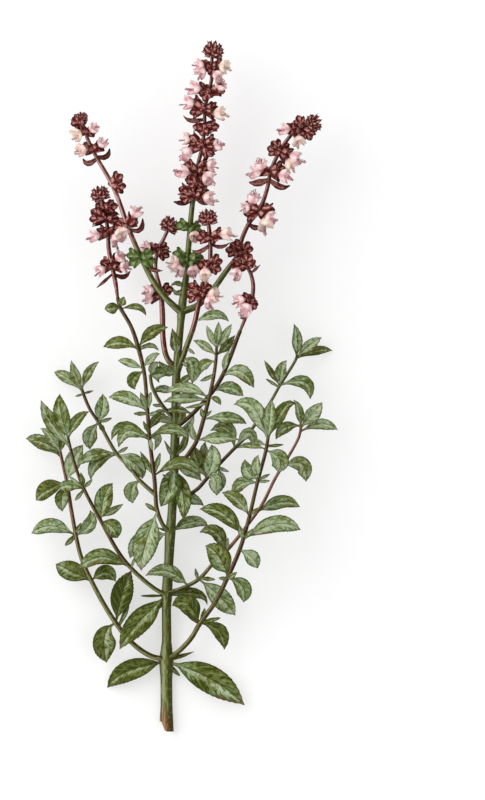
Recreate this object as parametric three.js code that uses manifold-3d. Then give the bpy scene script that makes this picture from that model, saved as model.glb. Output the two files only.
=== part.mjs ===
// A cut flowering stem of basil, lying on a flat surface: one square main stem, leafy side branches in pairs,
// and seven flower spikes with whorls of bell-shaped calyces. Millimetres, +Z up, +Y from the cut end to the top.
// The origin is under the cut end, in the middle of the flat on which the stem rests.
import * as THREE from 'three';
import { mergeVertices } from 'three/addons/utils/BufferGeometryUtils.js';
import Module from 'manifold-3d';

const wasm = await Module();
wasm.setup();

// ---- driving dimensions ------------------------------------------------------------------------------------
const REST_POINT = [-0.8, 15];      // where the origin lies in the plant's own plan, whose zero is the cut end
const FLAT_LENGTH = 30;             // the main stem lies flat on the surface up to here
const LEAF_THICK = 1.3;             // at the midrib
const LEAF_FOLD = 0.16;             // how far the margins stand above the midrib, for a leaf 1 wide
const JOINT_GAP = 0.3;              // between a side branch and what carries it
const LEAF_NARROWEST = 0.55;        // half width at the root and the tip
const CALYX_REACH = 9;              // from the axis to the rim, with its short stalk
const CALYX_ROOT = 0.06;            // the share of its reach at which a calyx starts, inside the stem
const CALYX_WAIST = 1.9;            // radius halfway
const CALYX_MOUTH = 2.5;            // radius
const CALYX_DENT = 0.72;            // the share of its length at which the middle of the open end lies
const CALYX_PAST_MIDDLE = 1.35;     // its reach over the distance to the middle of its cup, which the plan gives
const CALYX_BENEATH = [0, 1, -6.5]; // the reach of the one calyx of each whorl that the stem hides
const COROLLA_MOUTH = 2.5;          // radius
const COROLLA_FROM = 0.7;           // the share of its calyx's reach at which a corolla starts
const COROLLA_PAST_MIDDLE = 1.15;
const COROLLA_FLATNESS = 0.8;
const COROLLA_LIFT = 0.5;           // above its calyx's rim
const HEAD_BUDS = 8;                // in the crown at a spike's top
const HEAD_CORE = 0.62;             // radius over the crown's
const HEAD_BUD_FROM = 0.3;          // where a bud starts, over the crown's radius
const HEAD_BUD_MOUTH = 0.44;        // radius over the crown's
const HEAD_STALK = 0.8;             // half width
const STEM_SIDES = 6;
const MAIN_STEM_SIDES = 8;
const SOCKET_SIDES = 12;
const SOCKET_LENGTH = 16;
const AXIS_STEPS = 40;              // places tried between two points of a line to find the one nearest to a leaf

const COLOURS = {
  stem: { color: 0x7d8a4a, roughness: 0.6 },
  leaf: { color: 0x6a7f48, roughness: 0.65 },
  spike: { color: 0x6b2626, roughness: 0.6 },
};

// ---- the plant's plan --------------------------------------------------------------------------------------
// A stem's line is a list of [x, y, z, half width]. A leaf is
// [root x, y,  middle x, y, z,  tip x, y, z,  width, roll in degrees]; its root sinks to the stem's axis.
// A narrow leaf with no middle is [root x, y,  tip x, y, z,  width].
const MAIN_LINE = [
  [-0.8, 0.3, 3.3, 3.3], [-0.9, 15, 3.2, 3.2], [-1, 30, 3.2, 3.2], [-1, 39, 4.8, 4], [-0.8, 50, 6, 2.6],
  [-0.9, 68, 9.5, 2.5], [-0.7, 76, 11.5, 3], [0.4, 94, 15.5, 2.5], [1.2, 110, 19, 2.9], [2.1, 120, 21, 2.4],
  [3.7, 155, 26, 2.5], [4.8, 200, 30, 2.2], [7, 225, 32, 1.9], [7.5, 232, 32.5, 2.4], [10, 251, 33, 1.7],
];
const MAIN_LEAVES = [
  [-3, 39, -21, 35.5, 7, -33.5, 24.5, 1, 12.5, -25],
  [1, 39, 20, 33, 10, 42, 15, 5, 15.5, 12],
  [1, 39.5, 14, 44.3, 4, 2.3],
  [1, 38.5, 6.5, 31, 3, 2.6],
  [-2, 75.5, -17, 61, 17, -26.5, 46, 14, 13, -15],
  [-2, 75.5, -15, 75.2, 9, 1.8],
  [-2, 75, -6.5, 67, 7, 2.5],
  [2, 75.5, 15, 78, 5, 21.5, 70.3, 2, 7, 35],
  [0, 110, -14, 107, 17, -21, 96, 13, 12, -10],
  [2, 110.5, 13, 117, 15, 22, 113.5, 11, 9, 40],
  [0, 110.5, -5.7, 113, 15, 1.6],
  [3.5, 143, 1, 134, 33, -4.5, 124.3, 30, 9, 0],
  [4.5, 142.5, 7.5, 131, 32, 8.5, 118.5, 29, 7.5, 0],
  [4, 131, 13, 129.5, 16, 19.7, 124.8, 13, 7, 20],
  [3, 139, -3.2, 142.3, 30, 2],
  [4.5, 202, 1, 199.5, 35, -4.8, 204.3, 36, 5, 0],
  [5.5, 209, 3.6, 215, 36, 2.3, 222.6, 38, 5, 0],
  [9, 245.5, 5.5, 248, 37, 1.8, 246, 38, 2.6, 0],
  [8.8, 244, 5, 241.5, 35, 2.8, 244.5, 37, 3.2, 0],
];

// The leafy side branches: what carries each one, its line and its leaves.
const BRANCHES = {
  leafy_left_low: {
    on: 'main_stem',
    line: [
      [-1, 40, 6, 1.5], [-9.5, 43, 8.5, 1.6], [-20, 50.5, 10, 1.5], [-31, 63.5, 11, 1.5], [-42, 83, 13, 1.4],
      [-48, 97, 15, 1.3], [-53, 121, 17, 1.2], [-55.5, 137, 18, 1.1], [-59.5, 155, 19, 1],
    ],
    leaves: [
      [-28, 61, -36, 56, 12, -34, 38.5, 5, 13, 10],
      [-27, 61, -26.5, 75, 13, -20.3, 89, 10, 12, 0],
      [-25, 60, -21.5, 70, 9, 2.5],
      [-42, 83.5, -52, 88.5, 13, -62, 92.8, 8, 12, -25],
      [-42, 84, -35, 90, 16, -28.8, 83.3, 13, 9, 30],
      [-51, 109, -62, 115, 19, -75.3, 109.7, 12, 11, -45],
      [-50, 109, -42.8, 113, 18, -42.8, 122.3, 14, 8, 20],
      [-51, 109, -56.8, 103, 13, 2.8],
      [-51, 110, -47.7, 115.5, 20, 2.5],
      [-56, 137, -65, 135.5, 19, -72.7, 127.9, 13, 11, -35],
      [-55.5, 136, -58.8, 131, 20, -58.2, 121.8, 17, 8, 0],
      [-55.5, 138, -53.5, 148.5, 20, -47, 158.3, 16, 9, 0],
      [-59, 152, -68, 160.5, 15, -78.2, 161.8, 4, 8, 0],
      [-59, 154, -67.5, 156.5, 23, -75.5, 157.8, 18, 7, 0],
      [-59, 154, -63.5, 163, 25, -70, 167.5, 22, 6, 0],
      [-59, 154, -58.5, 160, 22, -57, 165.5, 21, 4, 0],
    ],
  },
  leafy_left_middle: {
    on: 'main_stem',
    line: [
      [-0.7, 76, 12, 1.5], [-5, 78.5, 16, 1.5], [-13, 85, 21.5, 1.5], [-24, 97, 29, 1.4], [-36, 117.5, 38, 1.3],
      [-46, 135, 42, 1.2], [-51.5, 149, 44, 1.1], [-55, 163, 46, 1],
    ],
    leaves: [
      [-20, 92, -34, 98.5, 31, -49, 90.5, 24, 12, -45],
      [-19.5, 92, -17.2, 98.5, 30, 2],
      [-36, 117, -36.5, 128, 40, -30.3, 137.5, 38, 10, 0],
      [-36, 117, -31, 114.5, 41, -27.7, 107.5, 37, 10, 25],
      [-37, 119, -24.5, 126, 35, 4],
      [-46, 134, -54.5, 137, 45, 2],
      [-46.5, 135, -54, 141, 39, 2.2],
      [-46, 134, -51, 128, 38, 2.4],
      [-46.5, 135, -47.8, 143.5, 47, 3.5],
      [-46, 135, -41.5, 139.5, 44, 2.4],
      [-54.8, 161, -58.5, 174, 50, -59.3, 186.4, 48, 9, 0],
      [-54, 157, -63, 169, 49, -69.7, 182.9, 44, 8.5, -15],
      [-55, 162, -51.5, 171.5, 49, -43.3, 176.8, 45, 6, 15],
    ],
  },
  leafy_left_front: {
    on: 'main_stem',
    line: [
      [1.2, 110.5, 19.5, 1.4], [-2.5, 114, 25, 1.4], [-6, 123, 31.5, 1.4], [-6.8, 131, 36.5, 1.4], [-7.3, 139, 41, 1.4],
      [-10, 162, 48, 1.3], [-11.5, 183, 51, 1.3], [-12.9, 198, 51, 1.3], [-16, 211, 48, 1.5],
      [-20, 223, 44, 1.3], [-26.2, 234, 38.5, 1.3], [-27.3, 237.5, 37, 1.2],
    ],
    leaves: [
      [-6, 122, -12.5, 106, 36, -14.7, 89.5, 32, 14, -8],
      [-6, 122, -12.5, 126.3, 29, 2.5],
      [-7.5, 141, -15.2, 155, 40, 3.5],
      [-7.5, 143, -4.2, 154.2, 44, 3],
      [-7.4, 142, 6, 150.5, 44, 18, 142, 38, 9, 40],
      [-10, 161.5, -21, 168.5, 52, -27, 157.3, 48, 8.5, -30],
      [-10, 163, -24, 170.5, 46, -31, 161.3, 41, 7, -30],
      [-10, 165, -13.5, 171.6, 52, 2.5],
      [-10, 163, 1, 168.5, 50, 11.5, 162, 46, 8, 40],
      [-10, 162, -8.5, 155.5, 50, 2.6],
      [-11.3, 177, -20, 184.8, 52, -32.5, 184.7, 44, 8, -20],
      [-11.5, 178, -15, 187.5, 56, 4],
      [-11.4, 178.5, -9.3, 187.5, 54, 3],
      [-11.2, 176, -18.7, 175.7, 51, 2.4],
      [-11.2, 175, -5, 176.7, 53, 2.2],
      [-13, 199, -20, 196, 54, -18, 189, 49, 6.5, 0],
      [-13.2, 200, -20, 204, 53, -27.5, 204.8, 48, 4.8, 0],
      [-13.4, 201, -9, 207, 54, -4.5, 208.5, 52, 4.6, 0],
      [-16, 211, -24, 215.8, 50, -35.5, 212.3, 43, 7.5, -20],
      [-16, 212, -10.5, 221, 51, 0, 223, 46, 6.8, 0],
      [-16, 211, -10, 214.3, 46, -5, 210.3, 44, 3, 0],
      [-26, 234, -31, 234.2, 41, -34.5, 233, 39, 6.5, 0],
      [-26.3, 234.5, -24, 240, 41, 4.8],
      [-25.5, 233.5, -17, 235.8, 41, -12, 229.5, 36, 3.8, 10],
    ],
  },
  leafy_left_inner: {
    on: 'leafy_left_front',
    line: [
      [-6.8, 131, 36.5, 1.2], [-15.5, 139, 31, 1.2], [-21, 146, 28, 1.1], [-28.5, 154, 25, 1.1],
      [-38, 170.5, 20, 1.1], [-43, 178, 17, 1], [-46.8, 187, 14, 1], [-48, 191, 13.5, 0.9],
    ],
    leaves: [
      [-15.5, 139, -20.5, 136, 32, -19.3, 126.5, 28, 8.5, 0],
      [-28.5, 154, -40, 154.5, 26, -50, 146.7, 24, 7, -15],
      [-28.5, 153, -38, 149.5, 22, -42, 139.3, 18, 9, -10],
      [-28, 153.5, -18, 149.5, 28, -14, 140, 24, 10, 15],
      [-28, 154, -22, 157.3, 24, 2],
      [-38, 170.5, -36.2, 178.5, 24, -35.9, 186.4, 22, 8.2, 0],
      [-38.3, 171, -43.3, 165.5, 21, -43, 156.2, 16, 8.5, 0],
      [-38, 171, -31, 173.2, 21, 2.2],
      [-37.5, 169.5, -35, 166.3, 22, 3],
      [-47.3, 188, -54.5, 195.5, 11, -62.8, 198.5, 0, 6.5, -10],
      [-47.3, 188, -51, 197, 17, -53.3, 205, 16, 5.5, 0],
      [-47.5, 189, -45, 198, 17, -38, 204.3, 15, 5, 0],
      [-46.8, 186.5, -51, 185.2, 14, 1.6],
      [-46.8, 186.7, -41.2, 188.3, 15, 1.6],
    ],
  },
  leafy_left_short: {
    on: 'main_stem',
    line: [[4, 172, 28, 1.2], [-3, 180, 31, 1.2], [-8.5, 190, 35, 1.1], [-9.8, 197, 37, 1]],
    leaves: [
      [-9.7, 196, -5.5, 198.5, 39, -1.8, 196.3, 38, 9, 0],
      [-9.7, 196.5, -8.5, 201.5, 41, -4.5, 204, 41, 5, 0],
      [-1, 178, -4, 176.5, 33, -8.7, 171.5, 31, 6, 0],
      [-3, 180, -8.5, 180.5, 31, 2],
    ],
  },
  leafy_right_low: {
    on: 'main_stem',
    line: [
      [-0.6, 40, 5.5, 1.5], [5, 45, 9, 1.5], [12, 52.5, 14, 1.5], [17.5, 60, 19, 1.5], [26, 72, 27, 1.4],
      [32.5, 85, 34, 1.4], [39.5, 101, 40, 1.3], [44, 116, 43, 1.2], [49.5, 139, 45, 1.1], [54, 156, 46, 1.1],
      [55.5, 166, 46, 1],
    ],
    leaves: [
      [17, 60, 12.5, 72, 23, 2.3, 70, 19, 11, -20],
      [18, 60.5, 28.5, 58, 18, 31, 45.7, 12, 8.5, 15],
      [17, 60, 10, 65.3, 20, 1.8],
      [18, 61, 20.3, 68.5, 24, 2.2],
      [18, 61, 28.7, 63.2, 23, 2.4],
      [33, 86, 29, 97.5, 40, 20.7, 103, 37, 12.5, -15],
      [33, 85, 41.5, 82.5, 34, 41.5, 72, 28, 9, 10],
      [32.5, 85, 28, 85.3, 37, 2.2],
      [32.5, 84.5, 38, 88.5, 39, 3.5],
      [39.5, 101, 45.8, 98, 41, 49.3, 90.7, 36, 8.5, 15],
      [41.5, 108, 33, 121, 45, 17.5, 123.2, 38, 10, -30],
      [41.5, 107, 57, 116, 44, 72.8, 111.8, 36, 12, 40],
      [41, 107, 38.8, 114.8, 46, 3],
      [41.5, 107, 47, 112.5, 46, 2.4],
      [45, 119.5, 39.5, 128.5, 47, 29.8, 132.3, 42, 8, -20],
      [45.5, 120.5, 49.5, 124, 45, 2.2],
      [49.3, 138, 41.5, 139, 45, 35.5, 131, 39, 7.8, -20],
      [49.5, 139.5, 44.5, 142.5, 48, 42.3, 150.5, 46, 7.5, 0],
      [49.7, 140, 48, 146.5, 50, 49.8, 153, 48, 5.5, 0],
      [49.5, 139.5, 56, 142.5, 45, 1.8],
      [49.3, 138.5, 56, 138.8, 43, 1.8],
      [54, 155.5, 61.8, 152.5, 46, 60.5, 143.5, 40, 10, 10],
      [53.8, 156, 46, 159.2, 47, 38, 156.6, 44, 3.4, 0],
      [54.3, 158, 63.5, 158.7, 46, 2],
      [55.2, 162, 55.8, 173, 50, 57, 183.5, 47, 8, 0],
      [54.8, 161, 49.5, 179.5, 50, 36.3, 180.7, 44, 9.5, -10],
      [55.4, 162, 61.8, 178.5, 49, 70.5, 181, 44, 7.5, 10],
    ],
  },
  leafy_right_outer: {
    on: 'main_stem',
    line: [
      [-0.5, 77, 13, 1.4], [5, 78.5, 14.5, 1.4], [10, 80.5, 15.5, 1.4], [17, 84.5, 16, 1.4], [26, 94.5, 18.5, 1.3],
      [33, 101, 20, 1.3], [45, 116, 22, 1.2], [52, 126, 23, 1.2], [59, 140, 25, 1.1], [67.2, 153.5, 26, 1],
      [72.3, 163.6, 26.5, 1], [73.2, 170, 27, 1],
    ],
    leaves: [
      [9, 79.5, 2, 90.5, 27, -11, 87.5, 29, 11, -35],
      [17, 84.5, 28, 76, 17, 37, 64.5, 10, 11, 10],
      [16.5, 84, 15, 90.5, 18, 2.2],
      [18, 85, 26, 84.3, 18, 2.6],
      [32, 100, 28, 111.5, 26, 17.5, 110.3, 24, 8.5, -25],
      [32, 100.5, 33, 107.5, 25, 2.2],
      [49.5, 121, 61, 128, 27, 72.3, 124.2, 22, 9.5, 40],
      [63, 146.5, 73.5, 150.5, 28, 76, 138.3, 21, 9, 12],
      [63, 147, 64.3, 153, 29, 3],
      [73, 168, 73, 177, 31, 69, 183.3, 30, 4.8, 0],
      [73, 168, 79, 175, 29, 84.9, 181.8, 26, 8.5, 0],
      [73, 166, 83, 171, 25, 93.1, 166.8, 15, 6.5, 15],
      [73, 169, 65, 169.8, 29, 59.3, 161.5, 26, 6.5, -10],
    ],
  },
  leafy_right_middle: {
    on: 'main_stem',
    line: [
      [2.6, 128, 22.5, 1.3], [8, 129.5, 25, 1.3], [16, 134, 28, 1.3], [21, 139.5, 30, 1.3], [29.3, 149, 33, 1.2],
      [37, 157, 34, 1.2], [43, 163, 33.5, 1.1], [49.5, 172, 29, 1.1], [55.8, 181, 24, 1], [61.5, 191, 20, 1],
      [65.3, 197, 17, 1], [70.3, 205.3, 14, 1], [71.2, 208, 13.5, 0.9],
    ],
    leaves: [
      [22.5, 141, 24.7, 150, 36, 24, 158.5, 34, 9.5, 0],
      [21.5, 140.5, 15.8, 149.5, 32, 14.5, 157.8, 31, 6, 0],
      [23.5, 142, 26.8, 138.3, 33, 26.7, 130.7, 28, 9, 0],
      [27, 146.5, 33.5, 143.8, 33, 2.2],
      [36.8, 157, 34.5, 168.5, 37, 23.5, 166.3, 35, 8, -20],
      [37.5, 157.5, 43.8, 168, 38, 48.7, 157, 33, 6.2, 10],
      [61, 190.5, 54, 194.8, 21, 1.8],
      [61.5, 191, 57.3, 198, 23, 53, 205, 21, 3.6, 0],
      [61.7, 191.5, 61.3, 198.8, 25, 65.3, 205, 24, 6.8, 0],
      [62, 191.5, 75.5, 195.5, 22, 78.3, 183.7, 14, 7.5, 10],
      [70.5, 206, 71.6, 216, 18, 69.3, 225, 17, 6, 0],
      [70.8, 206.5, 77.5, 213.5, 16, 84.6, 217.6, 13, 6.5, 0],
      [70.6, 206, 81, 211, 10, 90.3, 210.4, 0, 5.2, 10],
    ],
  },
  leafy_right_front: {
    on: 'main_stem',
    line: [
      [3.3, 145, 25, 1.3], [8.5, 150, 32, 1.3], [11.7, 154, 35.5, 1.3], [16, 161, 40, 1.3], [20, 174, 45, 1.3],
      [23.3, 187, 48, 1.2], [25.5, 198, 48, 1.1], [26.5, 206, 48, 1], [26.8, 213, 48, 0.9],
    ],
    leaves: [
      [16, 161, 27, 163.5, 44, 39, 161.3, 41, 7, 0],
      [15.5, 160, 13.2, 165, 43, 13.8, 170, 44, 4, 0],
      [19.8, 173.5, 18.3, 178.5, 48, 3],
      [20, 174, 24, 177.3, 46, 2],
      [20, 173, 34, 174.3, 46, 43, 170, 40, 7, 20],
      [22.7, 184.5, 12, 191, 50, -1.5, 187.3, 46, 7, -20],
      [22.5, 183, 9, 185, 45, -2.5, 182, 40, 6, -10],
      [22, 181.5, 9.5, 178.8, 44, 2],
      [23, 184.5, 26.5, 184.5, 50, 29, 180.6, 47, 3.4, 0],
      [25.3, 197, 17.8, 193.6, 47, 2.4],
      [26.2, 204.5, 19.5, 204, 49, 18, 197.5, 46, 6, 0],
      [26.5, 207.5, 21.5, 213, 50, 14, 215.8, 47, 4.8, 0],
      [26.6, 207.5, 31.5, 212.5, 42, 37, 218.8, 39, 5.5, 0],
      [26.8, 211, 24, 217.5, 50, 21.3, 224, 47, 4, 0],
      [26.8, 212, 27.6, 219, 52, 27.8, 226, 50, 4.5, 0],
      [26.8, 211, 31, 218.5, 50, 35, 224.8, 47, 4.8, 0],
    ],
  },
  leafy_right_upper: {
    on: 'main_stem',
    line: [
      [4, 168, 27.5, 1.3], [9, 171.5, 32, 1.3], [14.5, 176.5, 36, 1.3], [20.5, 183, 39, 1.3],
      [25.5, 189, 41.5, 1.3], [30, 196.5, 44, 1.3], [35, 208.5, 46, 1.3], [38.5, 218, 47, 1.2],
    ],
    leaves: [
      [13.5, 175.5, 6, 178.5, 38, -0.5, 176.5, 35, 4.5, -20],
      [25, 188.5, 33, 191.5, 45, 41.5, 185.3, 39, 7.5, 15],
      [30, 196.5, 38.5, 201.5, 48, 47.3, 190, 40, 8.5, 15],
      [30.3, 197.5, 31.3, 204.5, 48, 34, 211, 49, 3.6, 0],
    ],
  },
};

// The flower spikes. A whorl is { at: [x, y], calyces, corollas }, each of these a list of the places [x, y] that its
// middles reach, seen from above; one more calyx hides behind each whorl. A head is [x, y, z, radius].
const SPIKES = {
  spike_top: {
    line: [
      [10.05, 251.4, 33, 1.6], [10.8, 260, 33.5, 1.6], [12, 275, 34, 1.5], [13.5, 291, 34.5, 1.4],
      [15.8, 303, 35, 1.2], [16.1, 310, 35, 1.1], [19, 323, 35.5, 1.1], [20.2, 336, 36, 1], [20.2, 343, 36, 1],
      [22.8, 353, 36, 1], [24.3, 362, 36, 1], [24.3, 372, 36, 0.9],
    ],
    bracts: [
      [13.8, 293.5, 9, 291.5, 34, 3, 292.3, 32, 3.2, 0],
      [14.3, 296, 18.5, 291.3, 34, 24, 292.2, 33, 2.6, 0],
      [19.8, 337.5, 13.5, 336.3, 35, 8.5, 339.5, 35, 2.8, 0],
      [20, 335, 25.5, 336.8, 37, 2],
    ],
    whorls: [
      { at: [10.8, 260.5], calyces: [[6, 263], [6.5, 257.8], [15, 257.5], [16, 261.5]],
        corollas: [[1.5, 259.3], [4.5, 253.2], [14.5, 252.5]] },
      { at: [11.7, 277.5], calyces: [[7.8, 279.2], [15.2, 276]], corollas: [[14.8, 271.8]] },
      { at: [14.3, 296.5], calyces: [[8.5, 298.5], [9.8, 294], [19.7, 297.3], [18.8, 295.3]],
        corollas: [[24.8, 293.8]] },
      { at: [15.7, 302.5], calyces: [[13.8, 302.8], [18, 303.3]], corollas: [] },
      { at: [16.1, 309], calyces: [[12, 311.5], [12.3, 307.5], [20.8, 312.5], [19.8, 308.3]],
        corollas: [[6, 309.3], [25.7, 312], [23.8, 303.6]] },
      { at: [18.8, 323], calyces: [[13.5, 327], [13.3, 321.3], [24, 325.3], [24.8, 321.5], [21.8, 318.6]],
        corollas: [[8.3, 327], [8.3, 317.5], [29, 324]] },
      { at: [19.9, 331.8], calyces: [[19.3, 331.6], [25, 333.5]], corollas: [] },
      { at: [20.2, 343], calyces: [[15.3, 346.6], [14.6, 341], [25, 343.3], [24.5, 340.6]],
        corollas: [[9, 346.5], [31, 340.6]] },
      { at: [22.5, 353], calyces: [[18.4, 354.2], [27.8, 353.2], [21, 351]],
        corollas: [[12.3, 354.8], [29.7, 357.2]] },
      { at: [24.2, 366], calyces: [[19.8, 366.3], [28, 367], [25, 363.6]],
        corollas: [[15.4, 367.6], [17, 361.4], [33, 366], [29, 360]] },
    ],
    head: [25, 375, 36, 5.6],
  },
  spike_left_tall: {
    on: 'main_stem',
    line: [
      [7, 231.5, 32.5, 1.7], [-1.9, 240, 43, 1.6], [-7.8, 248, 47, 1.6], [-14.5, 261, 49, 1.4],
      [-21, 276, 48, 1.3], [-29.9, 300, 46, 1.2], [-40, 318, 44, 1.1], [-44.6, 328, 43, 1], [-47, 336.5, 42, 0.9],
    ],
    bracts: [
      [-12, 256, -7.5, 254.6, 49, -3, 254.2, 47, 2.4, 0],
      [-21, 277, -15.5, 275, 48, -13.8, 283, 47, 3, 0],
      [-39.5, 317, -34.3, 315.8, 44, -32, 321.3, 43, 3, 0],
      [-39, 316, -43.3, 312.4, 44, -46.6, 315.8, 43, 3.2, 0],
    ],
    whorls: [
      { at: [-14.8, 261.3], calyces: [[-19.6, 263], [-18.6, 258.8], [-10, 259], [-11, 263]], corollas: [] },
      { at: [-22, 279], calyces: [[-26.6, 278], [-19.3, 283.3]], corollas: [[-16.6, 288], [-24.7, 273.3]] },
      { at: [-30.3, 301.5], calyces: [[-27.7, 305], [-26.6, 300]], corollas: [] },
      { at: [-41, 320.5], calyces: [[-37.6, 322.2], [-44.5, 320.4]], corollas: [[-49.5, 320], [-35, 325.3]] },
      { at: [-45.2, 330], calyces: [[-42.2, 330.4], [-48.4, 331]], corollas: [[-51.3, 328], [-39.8, 333.3]] },
      { at: [-46.9, 335.5], calyces: [[-50, 335.4]], corollas: [] },
    ],
    head: [-47.3, 339, 42, 4.6],
  },
  spike_left_low: {
    line: [
      [-27.42, 237.95, 36.85, 1.2], [-28.7, 247, 33, 1.2], [-30.5, 256, 31, 1.2], [-32.5, 266, 29.5, 1.2],
      [-33, 276, 29, 1.1], [-34.5, 285, 28.5, 1.1], [-36.3, 293, 28, 1],
    ],
    bracts: [
      [-30, 253, -34.5, 249, 30, -39.3, 244.8, 28, 2, 0],
      [-29.7, 252.5, -25, 250.2, 31, -20.7, 254.3, 30, 2.8, 0],
      [-34, 282, -41.5, 278.6, 28, 2],
      [-34.3, 285, -30, 286.8, 30, -26.8, 284.8, 29, 1.8, 0],
    ],
    whorls: [
      { at: [-30.7, 257.5], calyces: [[-34.6, 256], [-26.8, 256.6], [-28.4, 260]],
        corollas: [[-39, 253.3], [-25, 263], [-22, 256.4]] },
      { at: [-33, 275], calyces: [[-37, 274.2], [-29, 276.2]], corollas: [[-42.5, 273], [-27.5, 268.8]] },
      { at: [-34.3, 283.5], calyces: [[-39.8, 283], [-39.3, 287], [-29.6, 282.2]], corollas: [] },
      { at: [-35.3, 289], calyces: [[-31.4, 289.4]], corollas: [] },
    ],
    head: [-37.3, 296, 28, 5.2],
  },
  spike_left_inner: {
    on: 'main_stem',
    line: [
      [4.7, 199.5, 30, 1.5], [-0.6, 206.6, 29, 1.5], [-2.6, 216, 27, 1.5], [-3.1, 232, 25, 1.5],
      [-4, 243, 24, 1.2], [-6.8, 255.5, 24.5, 1], [-5.6, 265.5, 25, 1.1], [-2.3, 272, 25.5, 1], [0, 277, 26, 1],
    ],
    bracts: [[-5, 265.8, 1.8, 264.6, 27, 1.8]],
    whorls: [
      { at: [-4, 241.5], calyces: [[-7.6, 243], [-8.2, 239.8], [-0.8, 243.6]],
        corollas: [[-12.4, 243], [-12.3, 238.8]] },
      { at: [-5.6, 265.6], calyces: [[-10, 266], [-2.5, 263.2]], corollas: [[-13.4, 267.6]] },
    ],
    head: [1.3, 279.4, 26, 4.8],
  },
  spike_right_inner: {
    on: 'main_stem',
    line: [
      [5, 198, 30, 1.5], [8, 206, 34.8, 1.5], [10.4, 213, 37.5, 1.5], [14.2, 223.6, 42, 1.4],
      [17.5, 238, 46, 1.3], [20.3, 249, 48, 1.2], [23, 258, 49, 1.2], [23.3, 270, 49, 1.2], [22.3, 280, 49, 1.1],
    ],
    bracts: [
      [15, 226, 25, 231.9, 48, 33.5, 226.2, 44, 5.5, 0],
      [11, 212, 14.8, 208.5, 37, 1.8],
      [8, 205.8, 14.5, 205.5, 38, 13.3, 192.3, 34, 8.5, 0],
      [7.8, 204.5, 12, 201.3, 35, 2.6],
      [22.9, 268.5, 18.3, 264.6, 50, 13.3, 265.4, 48, 2.8, 0],
      [23.3, 268.8, 28.5, 266.7, 50, 34, 269.7, 48, 2.2, 0],
    ],
    whorls: [
      { at: [18.2, 241.5], calyces: [[13.6, 240], [14, 245], [21.6, 240.2], [20.6, 245.6]],
        corollas: [[27.5, 241], [24, 235.5]] },
      { at: [22.6, 256.5], calyces: [[20.2, 256], [26.4, 259.3], [26, 255.3]], corollas: [[20.6, 250.3]] },
      { at: [23.2, 272], calyces: [[19.2, 272], [28, 274]], corollas: [[35, 274.2]] },
    ],
    head: [21.8, 283, 49, 5.3],
  },
  spike_right_tall: {
    on: 'main_stem',
    line: [
      [7, 231.5, 32.5, 1.8], [16, 235, 31, 1.7], [24, 243, 30, 1.6], [32, 254, 30, 1.5], [38.5, 263, 30, 1.3],
      [40.8, 272, 31, 1.2], [45, 281, 32, 1.2], [50.2, 287.5, 33, 1.2], [54.5, 299, 34, 1.1],
      [56.5, 308.5, 34.5, 1.1], [61.5, 320, 35, 1.1], [70, 331, 36, 1], [76, 333.6, 36, 1],
    ],
    bracts: [
      [44.3, 280, 48, 277.6, 32, 51, 279.4, 31, 3, 0],
      [55.7, 304.5, 49.5, 302.4, 35, 44.5, 303, 34, 4, 0],
      [55.7, 304.5, 61.3, 300, 35, 67.2, 301.3, 34, 3.4, 0],
    ],
    whorls: [
      { at: [39.3, 265.3], calyces: [[35.4, 265], [37.5, 267.6], [43, 266.3], [41.8, 263.3]], corollas: [] },
      { at: [50, 287.2], calyces: [[44.6, 284.3], [45.4, 290.2], [53.4, 284], [56.3, 287.7]],
        corollas: [[41, 288.5], [58, 283], [47.5, 296.3], [54, 277]] },
      { at: [56.5, 308.5], calyces: [[51.8, 309], [61, 310.6], [60.5, 306.7]],
        corollas: [[45.6, 308], [50.6, 314.4], [66.4, 306]] },
      { at: [61.5, 320], calyces: [[58, 320.2], [59.5, 323], [66.3, 318.4], [65, 315.8]],
        corollas: [[73, 315.5], [69, 311]] },
      { at: [69.8, 331], calyces: [[67.3, 331.9], [72, 328.6]], corollas: [[62.3, 332], [72.2, 323.6]] },
      { at: [74.3, 333], calyces: [[72.3, 336.3], [77.3, 329]], corollas: [] },
    ],
    head: [79.8, 335.2, 36, 5],
  },
  spike_right_hooked: {
    line: [
      [38.68, 218.42, 47, 1.2], [43.3, 230.3, 47.5, 1.1], [46.8, 239, 48, 1.1], [47.6, 247, 48, 1.1],
      [45.5, 254.5, 48, 1], [41.5, 257.8, 48, 1],
    ],
    bracts: [[43, 229.5, 39.8, 228, 47, 2], [46, 253, 50.6, 257.2, 48, 2]],
    whorls: [
      { at: [46, 237.5], calyces: [[42.4, 238.5], [45.8, 235]], corollas: [[37, 237.3], [41.2, 231.6]] },
      { at: [44, 256.3], calyces: [[43.8, 260.3]], corollas: [] },
    ],
    head: [38.6, 257.8, 48, 4],
  },
};

// ---- solids ------------------------------------------------------------------------------------------------
function solid(geometry) {
  geometry.deleteAttribute('normal');
  geometry.deleteAttribute('uv');
  const merged = mergeVertices(geometry, 1e-4);
  return new wasm.Manifold(new wasm.Mesh({
    numProp: 3,
    vertProperties: new Float32Array(merged.attributes.position.array),
    triVerts: new Uint32Array(merged.index.array),
  }));
}

function fuse(pieces) {
  return pieces.reduce((whole, piece) => whole.add(piece));
}

// Bends a round primitive along a line: place(v, across, out) gives the point for the share v of its length.
function bend(geometry, place) {
  const position = geometry.attributes.position;
  for (let i = 0; i < position.count; i += 1) {
    const x = position.getX(i);
    const z = position.getZ(i);
    const size = Math.hypot(x, z);
    const unit = size > 1e-6 ? 1 / size : 0;
    const point = place(position.getY(i) + 0.5, x * unit, z * unit);
    position.setXYZ(i, point.x, point.y, point.z);
  }
  return solid(geometry);
}

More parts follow.
